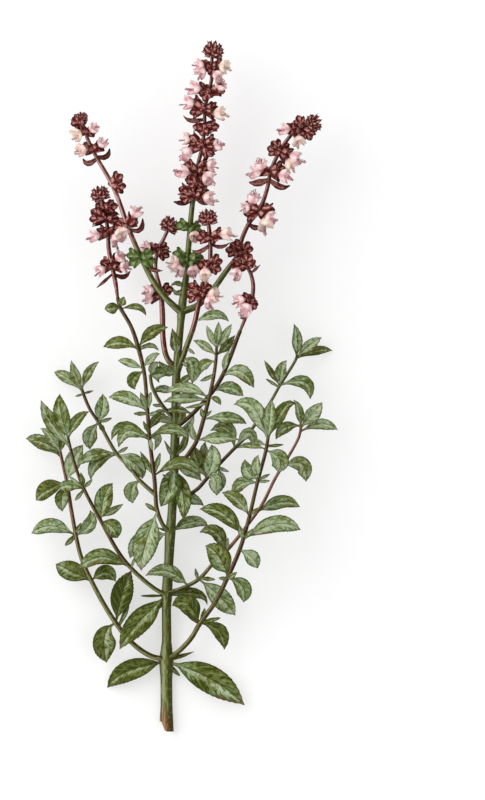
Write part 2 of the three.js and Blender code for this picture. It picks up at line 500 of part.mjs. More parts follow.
// The across and outward directions at a point of a line that runs along `along`.
function sectionAxes(along, roll = 0) {
  const up = new THREE.Vector3(0, 0, 1).addScaledVector(along, -along.z).normalize();
  const left = new THREE.Vector3().crossVectors(up, along);
  const out = up.multiplyScalar(Math.cos(roll)).addScaledVector(left, Math.sin(roll));
  return { out, across: new THREE.Vector3().crossVectors(along, out) };
}

function lineCurve(line) {
  return new THREE.CatmullRomCurve3(line.map(([x, y, z]) => new THREE.Vector3(x, y, z)), false, 'centripetal');
}

function halfWidthAt(line, t) {
  const place = t * (line.length - 1);
  const low = Math.min(Math.floor(place), line.length - 2);
  return THREE.MathUtils.lerp(line[low][3], line[low + 1][3], place - low);
}

function stem(line, sides, floor = -Infinity) {
  const curve = lineCurve(line);
  const turn = Math.PI / sides;          // a flat side lies downwards
  const reach = 1 / Math.cos(turn);      // from the half width to the corners
  return bend(new THREE.CylinderGeometry(1, 1, 1, sides, line.length - 1), (v, x, z) => {
    const { out, across } = sectionAxes(curve.getTangent(v));
    const r = halfWidthAt(line, v) * reach;
    const right = x * Math.cos(turn) - z * Math.sin(turn);
    const top = x * Math.sin(turn) + z * Math.cos(turn);
    const point = curve.getPoint(v).addScaledVector(across, right * r).addScaledVector(out, top * r);
    point.z = point.y < FLAT_LENGTH + 1 ? Math.max(point.z, floor) : point.z;
    return point;
  });
}

// The share of a stem's axis that lies nearest to a place in the plan.
function shareNearest(line, x, y) {
  const curve = lineCurve(line);
  const steps = AXIS_STEPS * (line.length - 1);
  let best = { share: 0, far: Infinity };
  for (let i = 0; i <= steps; i += 1) {
    const point = curve.getPoint(i / steps);
    const far = Math.hypot(point.x - x, point.y - y);
    if (far < best.far) best = { share: i / steps, far };
  }
  return best.share;
}

function onAxis(line, x, y) {
  return lineCurve(line).getPoint(shareNearest(line, x, y));
}

// The share of its full half width that a blade has along its length: petiole, shoulders, tip. Narrow blades
// have fewer steps.
const BLADES = [
  { below: 3.3, outline: [[0, 0.5], [0.45, 1], [1, 0]] },
  { below: 6, outline: [[0, 0.25], [0.34, 0.85], [0.67, 0.8], [1, 0]] },
  { below: 9, outline: [[0, 0.1], [0.25, 0.5], [0.5, 1], [0.75, 0.75], [1, 0]] },
  { below: Infinity, outline: [[0, 0.1], [0.2, 0.16], [0.4, 0.9], [0.6, 1], [0.8, 0.66], [1, 0]] },
];

function leaf(line, row) {
  const root = onAxis(line, row[0], row[1]);
  const small = row.length === 6;
  const tip = small ? new THREE.Vector3(row[2], row[3], row[4]) : new THREE.Vector3(row[5], row[6], row[7]);
  const middle = small ? root.clone().lerp(tip, 0.5) : new THREE.Vector3(row[2], row[3], row[4]);
  const [width, degrees] = small ? [row[5], 0] : [row[8], row[9]];
  const pull = middle.clone().multiplyScalar(2).addScaledVector(root, -0.5).addScaledVector(tip, -0.5);
  const curve = new THREE.QuadraticBezierCurve3(root, pull, tip);
  const profile = BLADES.find(({ below }) => width < below).outline;
  return bend(new THREE.ConeGeometry(1, 1, 4, profile.length - 1), (step, x, z) => {
    const [v, share] = profile[Math.round(step * (profile.length - 1))];
    const { out, across } = sectionAxes(curve.getTangent(v), THREE.MathUtils.degToRad(degrees));
    const half = Math.max(width / 2 * share, LEAF_NARROWEST);
    return curve.getPoint(v).addScaledVector(across, x * half)
      .addScaledVector(out, z * LEAF_THICK / 2 + Math.abs(x) * half * 2 * LEAF_FOLD);
  });
}

// A bell that opens along `reach` from its pointed root. One with no waist is a plain three-sided cone.
function bell(root, reach, waist, mouth, flatness = 1) {
  const along = reach.clone().normalize();
  const { out, across } = sectionAxes(along.clone().addScalar(1e-4).normalize());
  return bend(new THREE.CylinderGeometry(1, 0, 1, waist ? 4 : 3, waist ? 2 : 1), (v, x, z) => {
    const centre = Math.abs(x) + Math.abs(z) < 1e-6;
    const r = v < 0.75 ? waist : mouth;
    return root.clone().addScaledVector(reach, v > 0.75 && centre ? CALYX_DENT : v)
      .addScaledVector(across, x * r).addScaledVector(out, z * r * flatness);
  });
}

function calyx(root, reach) {
  return bell(root.clone().addScaledVector(reach, CALYX_ROOT), reach.clone().multiplyScalar(1 - CALYX_ROOT),
    CALYX_WAIST, CALYX_MOUTH);
}

function whorl(line, { at, calyces, corollas }) {
  const root = onAxis(line, at[0], at[1]);
  const reaches = calyces.map(([x, y]) => {
    const side = new THREE.Vector3(x - root.x, y - root.y, 0).multiplyScalar(CALYX_PAST_MIDDLE);
    side.z = Math.sqrt(Math.max(CALYX_REACH ** 2 - side.lengthSq(), 0));
    return side;
  });
  const pieces = reaches.map((reach) => calyx(root, reach));
  pieces.push(bell(root, new THREE.Vector3(...CALYX_BENEATH), 0, CALYX_MOUTH));
  const rims = reaches.map((reach) => root.clone().add(reach));
  for (const [x, y] of corollas) {
    const far = (rim) => Math.hypot(rim.x - x, rim.y - y);
    const rim = rims.reduce((a, b) => (far(a) < far(b) ? a : b));
    const start = root.clone().lerp(rim, COROLLA_FROM);
    const reach = new THREE.Vector3(x, y, rim.z + COROLLA_LIFT).sub(start).multiplyScalar(COROLLA_PAST_MIDDLE);
    pieces.push(bell(start, reach, 0, COROLLA_MOUTH, COROLLA_FLATNESS));
  }
  return pieces;
}

// The crown of unopened calyces at a spike's top, round a small core.
function head(line, [x, y, z, radius]) {
  const centre = new THREE.Vector3(x, y, z);
  const from = lineCurve(line).getPoint(1);
  const forward = centre.clone().sub(from).normalize();
  const core = new THREE.SphereGeometry(radius * HEAD_CORE, 6, 4);
  core.translate(centre.x, centre.y, centre.z);
  const stalk = stem([[from.x, from.y, from.z, HEAD_STALK], [x, y, z, HEAD_STALK]], STEM_SIDES);
  const pieces = [solid(core), stalk];
  const golden = Math.PI * (3 - Math.sqrt(5));
  for (let i = 0; i < HEAD_BUDS; i += 1) {
    const lift = 1 - 1.5 * (i + 0.5) / HEAD_BUDS;
    const ring = Math.sqrt(1 - lift * lift);
    const { out, across } = sectionAxes(forward);
    const reach = forward.clone().multiplyScalar(lift)
      .addScaledVector(out, ring * Math.cos(i * golden))
      .addScaledVector(across, ring * Math.sin(i * golden)).multiplyScalar(radius);
    const start = centre.clone().addScaledVector(reach, HEAD_BUD_FROM);
    pieces.push(bell(start, reach.multiplyScalar(1 - HEAD_BUD_FROM), 0, radius * HEAD_BUD_MOUTH));
  }
  return pieces;
}

// The space round a carrying stem that whatever grows from it leaves clear.
function socket(line, x, y) {
  const curve = lineCurve(line);
  const share = shareNearest(line, x, y);
  const point = curve.getPoint(share);
  const corner = halfWidthAt(line, share) / Math.cos(Math.PI / STEM_SIDES);
  const radius = (corner + JOINT_GAP) / Math.cos(Math.PI / SOCKET_SIDES);
  const sleeve = new THREE.CylinderGeometry(radius, radius, SOCKET_LENGTH, SOCKET_SIDES);
  const turn = new THREE.Quaternion().setFromUnitVectors(new THREE.Vector3(0, 1, 0), curve.getTangent(share));
  sleeve.applyQuaternion(turn);
  sleeve.translate(point.x, point.y, point.z);
  return solid(sleeve);
}

// ---- assembly ----------------------------------------------------------------------------------------------
const plant = new THREE.Group();
const lines = { main_stem: MAIN_LINE };

function addNode(name, whole, look) {
  const { vertProperties, triVerts } = whole.getMesh();
  const geometry = new THREE.BufferGeometry();
  geometry.setAttribute('position', new THREE.BufferAttribute(vertProperties, 3));
  geometry.setIndex(new THREE.BufferAttribute(triVerts, 1));
  const material = new THREE.MeshStandardMaterial({ ...COLOURS[look], metalness: 0 });
  const mesh = new THREE.Mesh(geometry, material);
  mesh.name = name;
  mesh.position.set(-REST_POINT[0], -REST_POINT[1], 0);
  plant.add(mesh);
}

function freeOf(whole, carrier, line) {
  return carrier ? whole.subtract(socket(lines[carrier], line[0][0], line[0][1])) : whole;
}

const mainLeaves = MAIN_LEAVES.map((row) => leaf(MAIN_LINE, row));
addNode('main_stem', fuse([stem(MAIN_LINE, MAIN_STEM_SIDES, 0), ...mainLeaves]), 'stem');

for (const [name, { on, line, leaves }] of Object.entries(BRANCHES)) {
  lines[name] = line;
  const whole = fuse([stem(line, STEM_SIDES), ...leaves.map((row) => leaf(line, row))]);
  addNode(name, freeOf(whole, on, line), 'leaf');
}

for (const [name, { on, line, bracts, whorls, head: crown }] of Object.entries(SPIKES)) {
  const whole = fuse([
    stem(line, STEM_SIDES),
    ...bracts.map((row) => leaf(line, row)),
    ...whorls.flatMap((row) => whorl(line, row)),
    ...head(line, crown),
  ]);
  addNode(name, freeOf(whole, on, line), 'spike');
}

export default plant;
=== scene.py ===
"""A cut flowering stem of basil, lying down: square stems, paired leaves and spikes of flower whorls."""
import functools
import math
import random

import bmesh
import bpy
from mathutils import Matrix, Vector
from mathutils.geometry import interpolate_bezier


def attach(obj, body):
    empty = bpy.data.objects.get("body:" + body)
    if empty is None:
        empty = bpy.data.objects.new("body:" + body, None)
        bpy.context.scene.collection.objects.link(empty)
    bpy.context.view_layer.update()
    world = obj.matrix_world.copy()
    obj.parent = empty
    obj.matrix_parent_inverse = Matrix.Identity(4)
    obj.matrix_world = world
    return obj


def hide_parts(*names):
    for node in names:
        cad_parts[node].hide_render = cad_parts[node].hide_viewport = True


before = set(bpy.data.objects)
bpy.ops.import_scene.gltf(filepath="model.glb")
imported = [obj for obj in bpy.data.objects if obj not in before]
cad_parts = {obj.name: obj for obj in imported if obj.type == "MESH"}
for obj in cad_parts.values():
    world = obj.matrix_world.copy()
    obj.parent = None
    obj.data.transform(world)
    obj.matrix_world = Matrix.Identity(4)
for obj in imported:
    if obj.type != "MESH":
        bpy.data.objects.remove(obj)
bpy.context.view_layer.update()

# ---- sizes: in millimetres, or as shares of what they belong to ---------------------------------------
REST_POINT = (-0.8, 15)           # where the model's origin lies in the plan

THICK_GIRTH = 1.06                # of the main stem and the spikes' stems, over the plan's half width
THIN_GIRTH = 0.94                 # and of most leafy branches' stems
ROOT_SWELL = 1.15                 # a stem is this much thicker where it leaves what carries it,
ROOT_INSIDE = 0.6                 # or this thin where it starts inside the stem that it goes on from
STEM_TIP = 0.8                    # half width of a spike's stem inside its crown
RIDGE_TURN = math.radians(-15)    # of a stem's square section: a ridge lies a little left of its top
# A stem's right side carries its painted shade, and its ridge left of the top its painted highlight.
SHADED_SIDE = 0.2917               # where a stem's right side lies in its UV map, whose V runs round it

LEAF_THICK = 0.75                 # of a blade's midrib and petiole
THIN_FROM_MIDRIB = 2.6            # how fast a blade thins towards its margins,
MARGIN_THICK = 0.36               # and how thick it is there
PETIOLE_END, PETIOLE_FADE = 0.16, 0.08       # where its petiole starts to thin, and over how much
TOOTHED_FROM, TOOTHED_TO = 0.28, 0.93        # the stretch of a blade's length whose margins have teeth
TOOTH_LEAN = 0.35                 # of a tooth's tip towards the leaf's, over the gap between its rows
TIP_WIDTH = 0.03                  # the least share of its full width that a blade has
ROOT_ARCH = 0.5                   # how much of its arch a blade has near its root
SMALL_ARCH = 0.8                  # the height of a small leaf's arch
LOWER_HALF = 0.16                 # the half of a blade towards the plant's foot is this much wider
LEAF_TWIST = 8                    # degrees, at most, one way at its root and the other way at its tip
WAVE_LENGTH, WAVE_HEIGHT = 11, 1.3           # of the waves over all blades
NARROW_FROM, BROAD_FROM = 3.3, 9             # the widths from which a leaf has these outlines
LOW_LEAVES = 78                   # up the plan: the oldest leaves, below it, are darker,
LOW_DARKER = 0.75                 # by this much of a tone
LEAVES_BELOW = 228                # up the plan: what a spike carries below it is a leaf, not a bract

CALYX_REACH = 9                   # from the axis to the rim, with its short stalk
CALYX_PAST_MIDDLE = 1.35          # its reach over the distance to its cup's middle, which the plan gives
CALYX_BENEATH = ((0, 1, -6.5), (-4.6, 2, -5), (4.6, 2, -5))     # reaches on the side that lies down
CALYX_FRONT = ((2.4, -1.4, 5.6), (-2.2, 0.9, 6))     # across the front: aside, along and up from it
CALYX_LONG = (0.94, 1.03)         # the least and the most length of a calyx, over its reach,
CALYX_SLIM = (0.98, 0.95)         # and its width and depth over its length
COROLLA_FROM = 0.7                # the share of its calyx's reach at which a corolla starts
COROLLA_PAST_MIDDLE = 1.15
COROLLA_LIFT = 0.5                # above its calyx's rim
COROLLA_WIDTH = 6.2
COROLLA_SPREAD = 0.15             # how much wider or narrower one may be
COROLLA_TURN = 0.7                # radians, at most, about its reach
RUFFLED_ABOVE = 0.6               # up its length: above it a corolla is crumpled,
RUFFLE = 0.06                     # by up to this share of its size
CROWN_BUDS = 22
CROWN_DEPTH = 1.6                 # how far back the crown's buds go round its knob, from 1 at the front
BUD_FROM = (0.2, 0.6)             # between the stem's end and the knob's middle
BUD_REACH = (1.06, 1.18)          # over the knob's radius
BUD_WIDTH = (0.56, 0.66)
SHORT_BUD = 0.8                   # each fourth bud's length over the others'

TORN_LIFT, TORN_REACH = 5.8, 14   # of the strip torn off the cut end's left side
TORN_FROM, TORN_OVER = -0.8, 2.2  # its edge, and how far left of it the tear is whole
CUT_FACES = -0.35                 # a face whose normal points down the plant more than this shows the pith

NEAR = 1e-4                       # points are in one row or ring when they are this near
FLOOR_Z = -0.0003                 # metres: just under the plane on which the plant rests

# ---- the plant's plan ---------------------------------------------------------------------------------
# Millimetres from the cut end: +Y up the plant, +Z up from the surface. A stem's line is a list of
# [x, y, z, half width]. A leaf or bract is [root x, y,  middle x, y, z,  tip x, y, z,  width, roll in
# degrees], and a small one with no middle is [root x, y,  tip x, y, z,  width]. Its root sinks to the axis.
MAIN_LINE = [
    [-0.8, 0.3, 3.3, 3.3], [-0.9, 15, 3.2, 3.2], [-1, 30, 3.2, 3.2], [-1, 39, 4.8, 4], [-0.8, 50, 6, 2.6],
    [-0.9, 68, 9.5, 2.5], [-0.7, 76, 11.5, 3], [0.4, 94, 15.5, 2.5], [1.2, 110, 19, 2.9],
    [2.1, 120, 21, 2.4], [3.7, 155, 26, 2.5], [4.8, 200, 30, 2.2], [7, 225, 32, 1.9], [7.5, 232, 32.5, 2.4],
    [10, 251, 33, 1.7],
]

MAIN_LEAVES = [
    [-3, 39, -21, 35.5, 7, -33.5, 24.5, 1, 12.5, -25],
    [1, 39, 20, 33, 10, 42, 15, 5, 15.5, 12],
    [1, 39.5, 14, 44.3, 4, 2.3],
    [1, 38.5, 6.5, 31, 3, 2.6],
    [-2, 75.5, -17, 61, 17, -26.5, 46, 14, 13, -15],
    [-2, 75.5, -15, 75.2, 9, 1.8],
    [-2, 75, -6.5, 67, 7, 2.5],
    [2, 75.5, 15, 78, 5, 21.5, 70.3, 2, 7, 35],
    [0, 110, -14, 107, 17, -21, 96, 13, 12, -10],
    [2, 110.5, 13, 117, 15, 22, 113.5, 11, 9, 40],
    [0, 110.5, -5.7, 113, 15, 1.6],
    [3.7, 147, 1, 135.5, 34, -4, 124.6, 30, 10.5, 0],
    [5, 146, 8.8, 133, 33, 8.2, 117.5, 29, 9, 0],
    [4, 131, 13, 129.5, 16, 19.7, 124.8, 13, 7, 20],
    [3, 139, -3.2, 142.3, 30, 2],
    [4.5, 198, 0, 198.8, 35, -4.8, 204.6, 36, 6, 0],
    [6.4, 207, 4.4, 213.5, 36, 2.3, 222.6, 38, 6.2, 0],
    [9, 245.5, 5.5, 248, 37, 1.8, 246, 38, 2.6, 0],
    [8.8, 244, 5, 241.5, 35, 2.8, 244.5, 37, 3.2, 0],
    [4.3, 170, -2.5, 174.6, 34, -8.7, 169.2, 31, 4.6, 10],
    [4.3, 169, 9.5, 175.5, 36, -0.4, 178.3, 37, 5, 0],
    [3.8, 151, 9, 158, 32, 10.6, 170, 34, 4, 0],
    [3.7, 150, -2, 161, 32, 2.4],
    [4.4, 178, 9.3, 185.5, 33, 1.8],
    [4.5, 146, 12, 145, 29, 18.5, 138.6, 27, 6, 0],
    [4, 146, 4, 137, 33, 3.4, 127, 31, 8, 0],
    [4.1, 162, 11, 168, 33, 14.4, 175, 34, 4.6, 0],
    [4.8, 187, -2.6, 190.4, 33, -8.4, 187, 31, 4.6, 0],
    [4.6, 190, 9.6, 195.6, 34, 15.6, 196.6, 34, 4, 0],
]

BRANCHES = {
    "leafy_left_low": {
        "line": [
            [-1, 40, 6, 1.5], [-9.8, 42.2, 8.5, 1.6], [-20.4, 49.8, 10, 1.5], [-31, 63.5, 11, 1.5],
            [-42, 83, 13, 1.4], [-48, 97, 15, 1.3], [-53, 121, 17, 1.2], [-55.5, 137, 18, 1.1],
            [-59.5, 155, 19, 1],
        ],
        "leaves": [
            [-28, 61, -36, 56, 12, -34, 38.5, 5, 13, 10],
            [-27, 61, -26.5, 75, 13, -20.3, 89, 10, 12, 0],
            [-25, 60, -21.5, 70, 9, 2.5],
            [-42, 83.5, -52, 88.5, 13, -62, 92.8, 8, 12, -25],
            [-42, 84, -35, 90, 16, -28.8, 83.3, 13, 9, 30],
            [-51, 109, -62, 115, 19, -75.3, 109.7, 12, 11, -45],
            [-50, 109, -42.8, 113, 18, -42.8, 122.3, 14, 8, 20],
            [-51, 109, -56.8, 103, 13, 2.8],
            [-51, 110, -47.7, 115.5, 20, 2.5],
            [-56, 137, -65, 135.5, 19, -72.7, 127.9, 13, 11, -35],
            [-55.5, 136, -58.8, 131, 20, -58.2, 121.8, 17, 8, 0],
            [-55.5, 138, -53.5, 148.5, 20, -47, 158.3, 16, 9, 0],
            [-59, 152, -68, 160.5, 15, -78.2, 161.8, 4, 8, 0],
            [-59, 154, -66.8, 160, 23, -75, 160.3, 18, 6.4, 0],
            [-59, 154, -63.5, 163, 25, -70, 167.5, 22, 6, 0],
            [-59, 154, -58.5, 160, 22, -57, 165.5, 21, 4, 0],
        ],
    },
    "leafy_left_middle": {
        "line": [
            [-0.7, 76, 12, 1.5], [-5.4, 78, 16, 1.5], [-13.6, 84.2, 21.5, 1.5], [-25, 96.2, 29, 1.4],
            [-37, 117, 38, 1.3], [-46.4, 135, 42, 1.2], [-51.5, 149, 44, 1.1], [-55, 163, 46, 1],
        ],
        "leaves": [
            [-20, 92, -34, 98.5, 31, -49, 90.5, 24, 12, -45],
            [-19.5, 92, -17.2, 98.5, 30, 2],
            [-36, 117, -36.5, 128, 40, -30.3, 137.5, 38, 10, 0],
            [-36, 117, -31, 114.5, 41, -27.7, 107.5, 37, 10, 25],
            [-37, 119, -24.5, 126, 35, 4],
            [-46, 134.3, -53.5, 137.2, 40, -61, 134, 33, 6.5, 0],
            [-46.5, 135, -54, 141, 39, 2.2],
            [-46, 134, -51, 128, 38, 2.4],
            [-46.5, 135, -47.8, 143.5, 47, 3.5],
            [-46, 135, -41.5, 139.5, 44, 2.4],
            [-54.8, 161, -58.5, 174, 50, -59.3, 186.4, 48, 9, 0],
            [-54, 157, -63, 169, 49, -69.7, 182.9, 44, 8.5, -15],
            [-55, 162, -51.5, 171.5, 49, -43.3, 176.8, 45, 6, 15],
        ],
    },
    "leafy_left_front": {
        "line": [
            [1.2, 110.5, 19.5, 1.4], [-2.5, 114, 25, 1.4], [-6, 123, 31.5, 1.4], [-6.8, 131, 36.5, 1.4],
            [-7.3, 139, 41, 1.4], [-10, 162, 48, 1.3], [-11.5, 183, 51, 1.3], [-12.9, 198, 51, 1.3],
            [-16, 211, 48, 1.5], [-20, 223, 44, 1.3], [-26.2, 234, 38.5, 1.3], [-27.3, 237.5, 37, 1.2],
        ],
        "leaves": [
            [-6, 122, -12.5, 106, 36, -14.7, 89.5, 32, 14, -8],
            [-6, 122, -12.5, 126.3, 29, 2.5],
            [-7.5, 141, -15.2, 155, 40, 3.5],
            [-7.5, 143, -4.2, 154.2, 44, 3],
            [-7.4, 142, 6, 150.5, 44, 18, 142, 38, 9, 40],
            [-10, 161.5, -21, 168.5, 52, -27, 157.3, 48, 8.5, -30],
            [-10, 163, -24, 170.5, 46, -31, 161.3, 41, 7, -30],
            [-10, 165, -13.5, 171.6, 52, 2.5],
            [-10, 163, 1, 168.5, 50, 11.5, 162, 46, 8, 40],
            [-10, 162, -8.5, 155.5, 50, 2.6],
            [-11.3, 177, -20, 184.8, 52, -32.5, 184.7, 44, 8, -20],
            [-11.5, 178, -15, 187.5, 56, 4],
            [-11.4, 178.5, -9.3, 187.5, 54, 3],
            [-11.2, 176, -18.7, 175.7, 51, 2.4],
            [-11.2, 175, -5, 176.7, 53, 2.2],
            [-13, 199, -20, 196, 54, -18, 189, 49, 6.5, 0],
            [-13.2, 200, -20, 204, 53, -27.5, 204.8, 48, 4.8, 0],
            [-13.4, 201, -9, 207, 54, -4.5, 208.5, 52, 4.6, 0],
            [-16, 211, -24, 215.8, 50, -35.5, 212.3, 43, 7.5, -20],
            [-16, 212, -10.5, 221, 51, 0, 223, 46, 6.8, 0],
            [-16, 211, -10, 214.3, 46, -5, 210.3, 44, 3, 0],
            [-26, 234, -31, 234.2, 41, -34.5, 233, 39, 6.5, 0],
            [-26.3, 234.5, -24, 240, 41, 4.8],
            [-25.5, 233.5, -17, 235.8, 41, -12, 229.5, 36, 3.8, 10],
            [-10.2, 167, -7, 173.4, 38, -1.2, 175.2, 37, 5, 0],
            [-10, 162.5, -4.8, 163.4, 35, -7.6, 155.4, 32, 5, 0],
        ],
    },
    "leafy_left_inner": {
        "line": [
            [-6.8, 131, 36.5, 1.2], [-15.5, 139, 31, 1.2], [-21, 146, 28, 1.1], [-28.5, 154, 25, 1.1],
            [-38, 170.5, 20, 1.1], [-43, 178, 17, 1], [-46.8, 187, 14, 1], [-48, 191, 13.5, 0.9],
        ],
        "leaves": [
            [-15.5, 139, -20.5, 136, 32, -19.3, 126.5, 28, 8.5, 0],
            [-28.5, 154, -40, 154.5, 26, -50, 146.7, 24, 7, -15],
            [-28.5, 153, -39.6, 150.8, 22, -42.4, 139, 18, 7, -10],
            [-28, 153.5, -18, 149.5, 28, -14, 140, 24, 10, 15],
            [-28, 154, -22, 157.3, 24, 2],
            [-38, 170.5, -36.2, 178.5, 24, -35.9, 186.4, 22, 8.2, 0],
            [-38.3, 171, -43.3, 165.5, 21, -43, 156.2, 16, 8.5, 0],
            [-38, 171, -31, 173.2, 21, 2.2],
            [-37.5, 169.5, -35, 166.3, 22, 3],
            [-47.3, 188, -54.5, 195.5, 11, -62.8, 198.5, 0, 6.5, -10],
            [-47.3, 188, -51, 197, 17, -53.3, 205, 16, 5.5, 0],
            [-47.5, 189, -45, 198, 17, -38, 204.3, 15, 5, 0],
            [-46.8, 186.5, -51, 185.2, 14, 1.6],
            [-46.8, 186.7, -41.2, 188.3, 15, 1.6],
        ],
    },
    "leafy_left_short": {
        "line": [[4, 172, 28, 1.2], [-3, 180, 31, 1.2], [-8.5, 190, 35, 1.1], [-9.8, 197, 37, 1]],
        "leaves": [
            [-9.7, 196, -5.5, 198.5, 39, -1.8, 196.3, 38, 9, 0],
            [-9.7, 196.5, -8.5, 201.5, 41, -4.5, 204, 41, 5, 0],
            [-1, 178, -4, 176.5, 33, -8.7, 171.5, 31, 6, 0],
            [-3, 180, -8.5, 180.5, 31, 2],
        ],
    },
    "leafy_right_low": {
        "line": [
            [-0.6, 40, 5.5, 1.5], [5.6, 44.4, 9, 1.5], [12.6, 51.8, 14, 1.5], [17.5, 60, 19, 1.5],
            [26, 72, 27, 1.4], [32.5, 85, 34, 1.4], [39.5, 101, 40, 1.3], [44, 116, 43, 1.2],
            [49.5, 139, 45, 1.1], [54, 156, 46, 1.1], [55.5, 166, 46, 1],
        ],
        "leaves": [
            [17, 60, 12.5, 72, 23, 2.3, 70, 19, 11, -20],
            [18, 60.5, 28.5, 58, 18, 31, 45.7, 12, 8.5, 15],
            [17, 60, 10, 65.3, 20, 1.8],
            [18, 61, 20.3, 68.5, 24, 2.2],
            [18, 61, 28.7, 63.2, 23, 2.4],
            [33, 86, 29, 97.5, 40, 20.7, 103, 37, 12.5, -15],
            [33, 85, 41.5, 82.5, 34, 41.5, 72, 28, 9, 10],
            [32.5, 85, 28, 85.3, 37, 2.2],
            [32.5, 84.5, 38, 88.5, 39, 3.5],
            [39.5, 101, 45.8, 98, 41, 49.3, 90.7, 36, 8.5, 15],
            [41.5, 108, 33, 121, 45, 17.5, 123.2, 38, 10, -30],
            [41.5, 107, 57, 116, 44, 72.8, 111.8, 36, 12, 40],
            [41, 107, 38.8, 114.8, 46, 3],
            [41.5, 107, 47, 112.5, 46, 2.4],
            [45, 119.5, 39.5, 128.5, 47, 29.8, 132.3, 42, 8, -20],
            [45.5, 120.5, 49.5, 124, 45, 2.2],
            [49.3, 138, 41.5, 139, 45, 35.5, 131, 39, 7.8, -20],
            [49.5, 139.5, 44.5, 142.5, 48, 42.3, 150.5, 46, 7.5, 0],
            [49.7, 140, 48, 146.5, 50, 49.8, 153, 48, 5.5, 0],
            [49.5, 139.5, 56, 142.5, 45, 1.8],
            [49.3, 138.5, 56, 138.8, 43, 1.8],
            [54, 155.5, 61.8, 152.5, 46, 60.5, 143.5, 40, 10, 10],
            [53.8, 156, 46, 159.2, 47, 38, 156.6, 44, 3.4, 0],
            [54.3, 158, 63.5, 158.7, 46, 2],
            [55.2, 162, 55.8, 173, 50, 57, 183.5, 47, 8, 0],
            [54.8, 161, 49.5, 179.5, 50, 36.3, 180.7, 44, 9.5, -10],
            [55.4, 162, 61.8, 178.5, 49, 70.5, 181, 44, 7.5, 10],
            [53, 158.5, 48, 161, 46, 44.5, 157.6, 45, 3.6, 0],
        ],
    },
    "leafy_right_outer": {
        "line": [
            [-0.5, 77, 13, 1.4], [5, 78.5, 14.5, 1.4], [10, 80.5, 15.5, 1.4], [17, 84.5, 16, 1.4],
            [26, 94.5, 18.5, 1.3], [33, 101, 20, 1.3], [45, 116, 22, 1.2], [52, 126, 23, 1.2],
            [59, 140, 25, 1.1], [67.2, 153.5, 26, 1], [72.3, 163.6, 26.5, 1], [73.2, 170, 27, 1],
        ],
        "leaves": [
            [11, 81, 2, 90, 27, -12.3, 86.6, 29, 9.4, -35],
            [17, 84.5, 28, 76, 17, 37, 64.5, 10, 11, 10],
            [16.5, 84, 15, 90.5, 18, 2.2],
            [18, 85, 26, 84.3, 18, 2.6],
            [32, 100, 28, 111.5, 26, 17.5, 110.3, 24, 8.5, -25],
            [32, 100.5, 33, 107.5, 25, 2.2],
            [49.5, 121, 61, 128, 27, 72.3, 124.2, 22, 9.5, 40],
            [63, 146.5, 73.5, 150.5, 28, 76, 138.3, 21, 9, 12],
            [63, 147, 64.3, 153, 29, 3],
            [73, 168, 73, 177, 31, 69, 183.3, 30, 4.8, 0],
            [73, 168, 79, 175, 29, 84.9, 181.8, 26, 8.5, 0],
            [73, 166, 83, 171, 25, 93.1, 166.8, 15, 6.5, 15],
            [73, 169, 65, 169.8, 29, 59.3, 161.5, 26, 6.5, -10],
        ],
    },
    "leafy_right_middle": {
        "line": [
            [2.6, 128, 22.5, 1.3], [8, 129.5, 25, 1.3], [16, 134, 28, 1.3], [21, 139.5, 30, 1.3],
            [29.3, 149, 33, 1.2], [37, 157, 34, 1.2], [43, 163, 33.5, 1.1], [49.5, 172, 29, 1.1],
            [55.8, 181, 24, 1], [61.5, 191, 20, 1], [65.3, 197, 17, 1], [70.3, 205.3, 14, 1],
            [71.2, 208, 13.5, 0.9],
        ],
        "leaves": [
            [21, 139.5, 24.9, 149, 38, 24, 158.5, 35, 9.5, 0],
            [21.5, 140, 16.3, 149.3, 32, 14.4, 158.6, 31, 8.5, 0],
            [22.2, 141, 26, 142, 38, 26.9, 130.7, 30, 8, 0],
            [27, 146.5, 33.5, 143.8, 33, 2.2],
            [36.8, 157, 34.5, 168.5, 37, 23.5, 166.3, 35, 8, -20],
            [37.5, 157.5, 43.8, 168, 38, 48.7, 157, 33, 6.2, 10],
            [61, 190.5, 54, 194.8, 21, 1.8],
            [61.5, 191, 57.3, 198, 23, 53, 205, 21, 3.6, 0],
            [61.7, 191.5, 61.3, 198.8, 25, 65.3, 205, 24, 6.8, 0],
            [62, 191.5, 75.5, 195.5, 22, 78.3, 183.7, 14, 7.5, 10],
            [70.5, 206, 71.6, 216, 18, 69.3, 225, 17, 6, 0],
            [70.8, 206.5, 77.5, 213.5, 16, 84.6, 217.6, 13, 6.5, 0],
            [70.6, 206, 81, 211, 10, 90.3, 210.4, 0, 5.2, 10],
            [22, 141, 19.5, 151, 31, 20.6, 160.5, 31, 7, 0],
            [27, 146, 30, 141.5, 33, 28, 132, 29, 5, 0],
        ],
    },
    "leafy_right_front": {
        "line": [
            [3.3, 145, 25, 1.3], [8.5, 150, 32, 1.3], [11.7, 154, 35.5, 1.3], [16, 161, 40, 1.3],
            [20, 174, 45, 1.3], [23.3, 187, 48, 1.2], [25.5, 198, 48, 1.1], [26.5, 206, 48, 1],
            [26.8, 213, 48, 0.9],
        ],
        "leaves": [
            [16, 161, 27, 163.5, 44, 39, 161.3, 41, 7, 0],
            [15.5, 160, 13.2, 165, 43, 13.8, 170, 44, 4, 0],
            [19.8, 173.5, 18.3, 178.5, 48, 3],
            [20, 174, 24, 177.3, 46, 2],
            [20, 173, 34, 174.3, 46, 43, 170, 40, 7, 20],
            [22.7, 184.5, 12, 191, 50, -1.5, 187.3, 46, 7, -20],
            [22.5, 183, 9, 185, 45, -2.5, 182, 40, 6, -10],
            [22, 181.5, 9.5, 178.8, 44, 2],
            [23, 184.5, 26.5, 184.5, 50, 29, 180.6, 47, 3.4, 0],
            [25.3, 197, 17.8, 193.6, 47, 2.4],
            [26.2, 204.5, 19.5, 204, 49, 18, 197.5, 46, 6, 0],
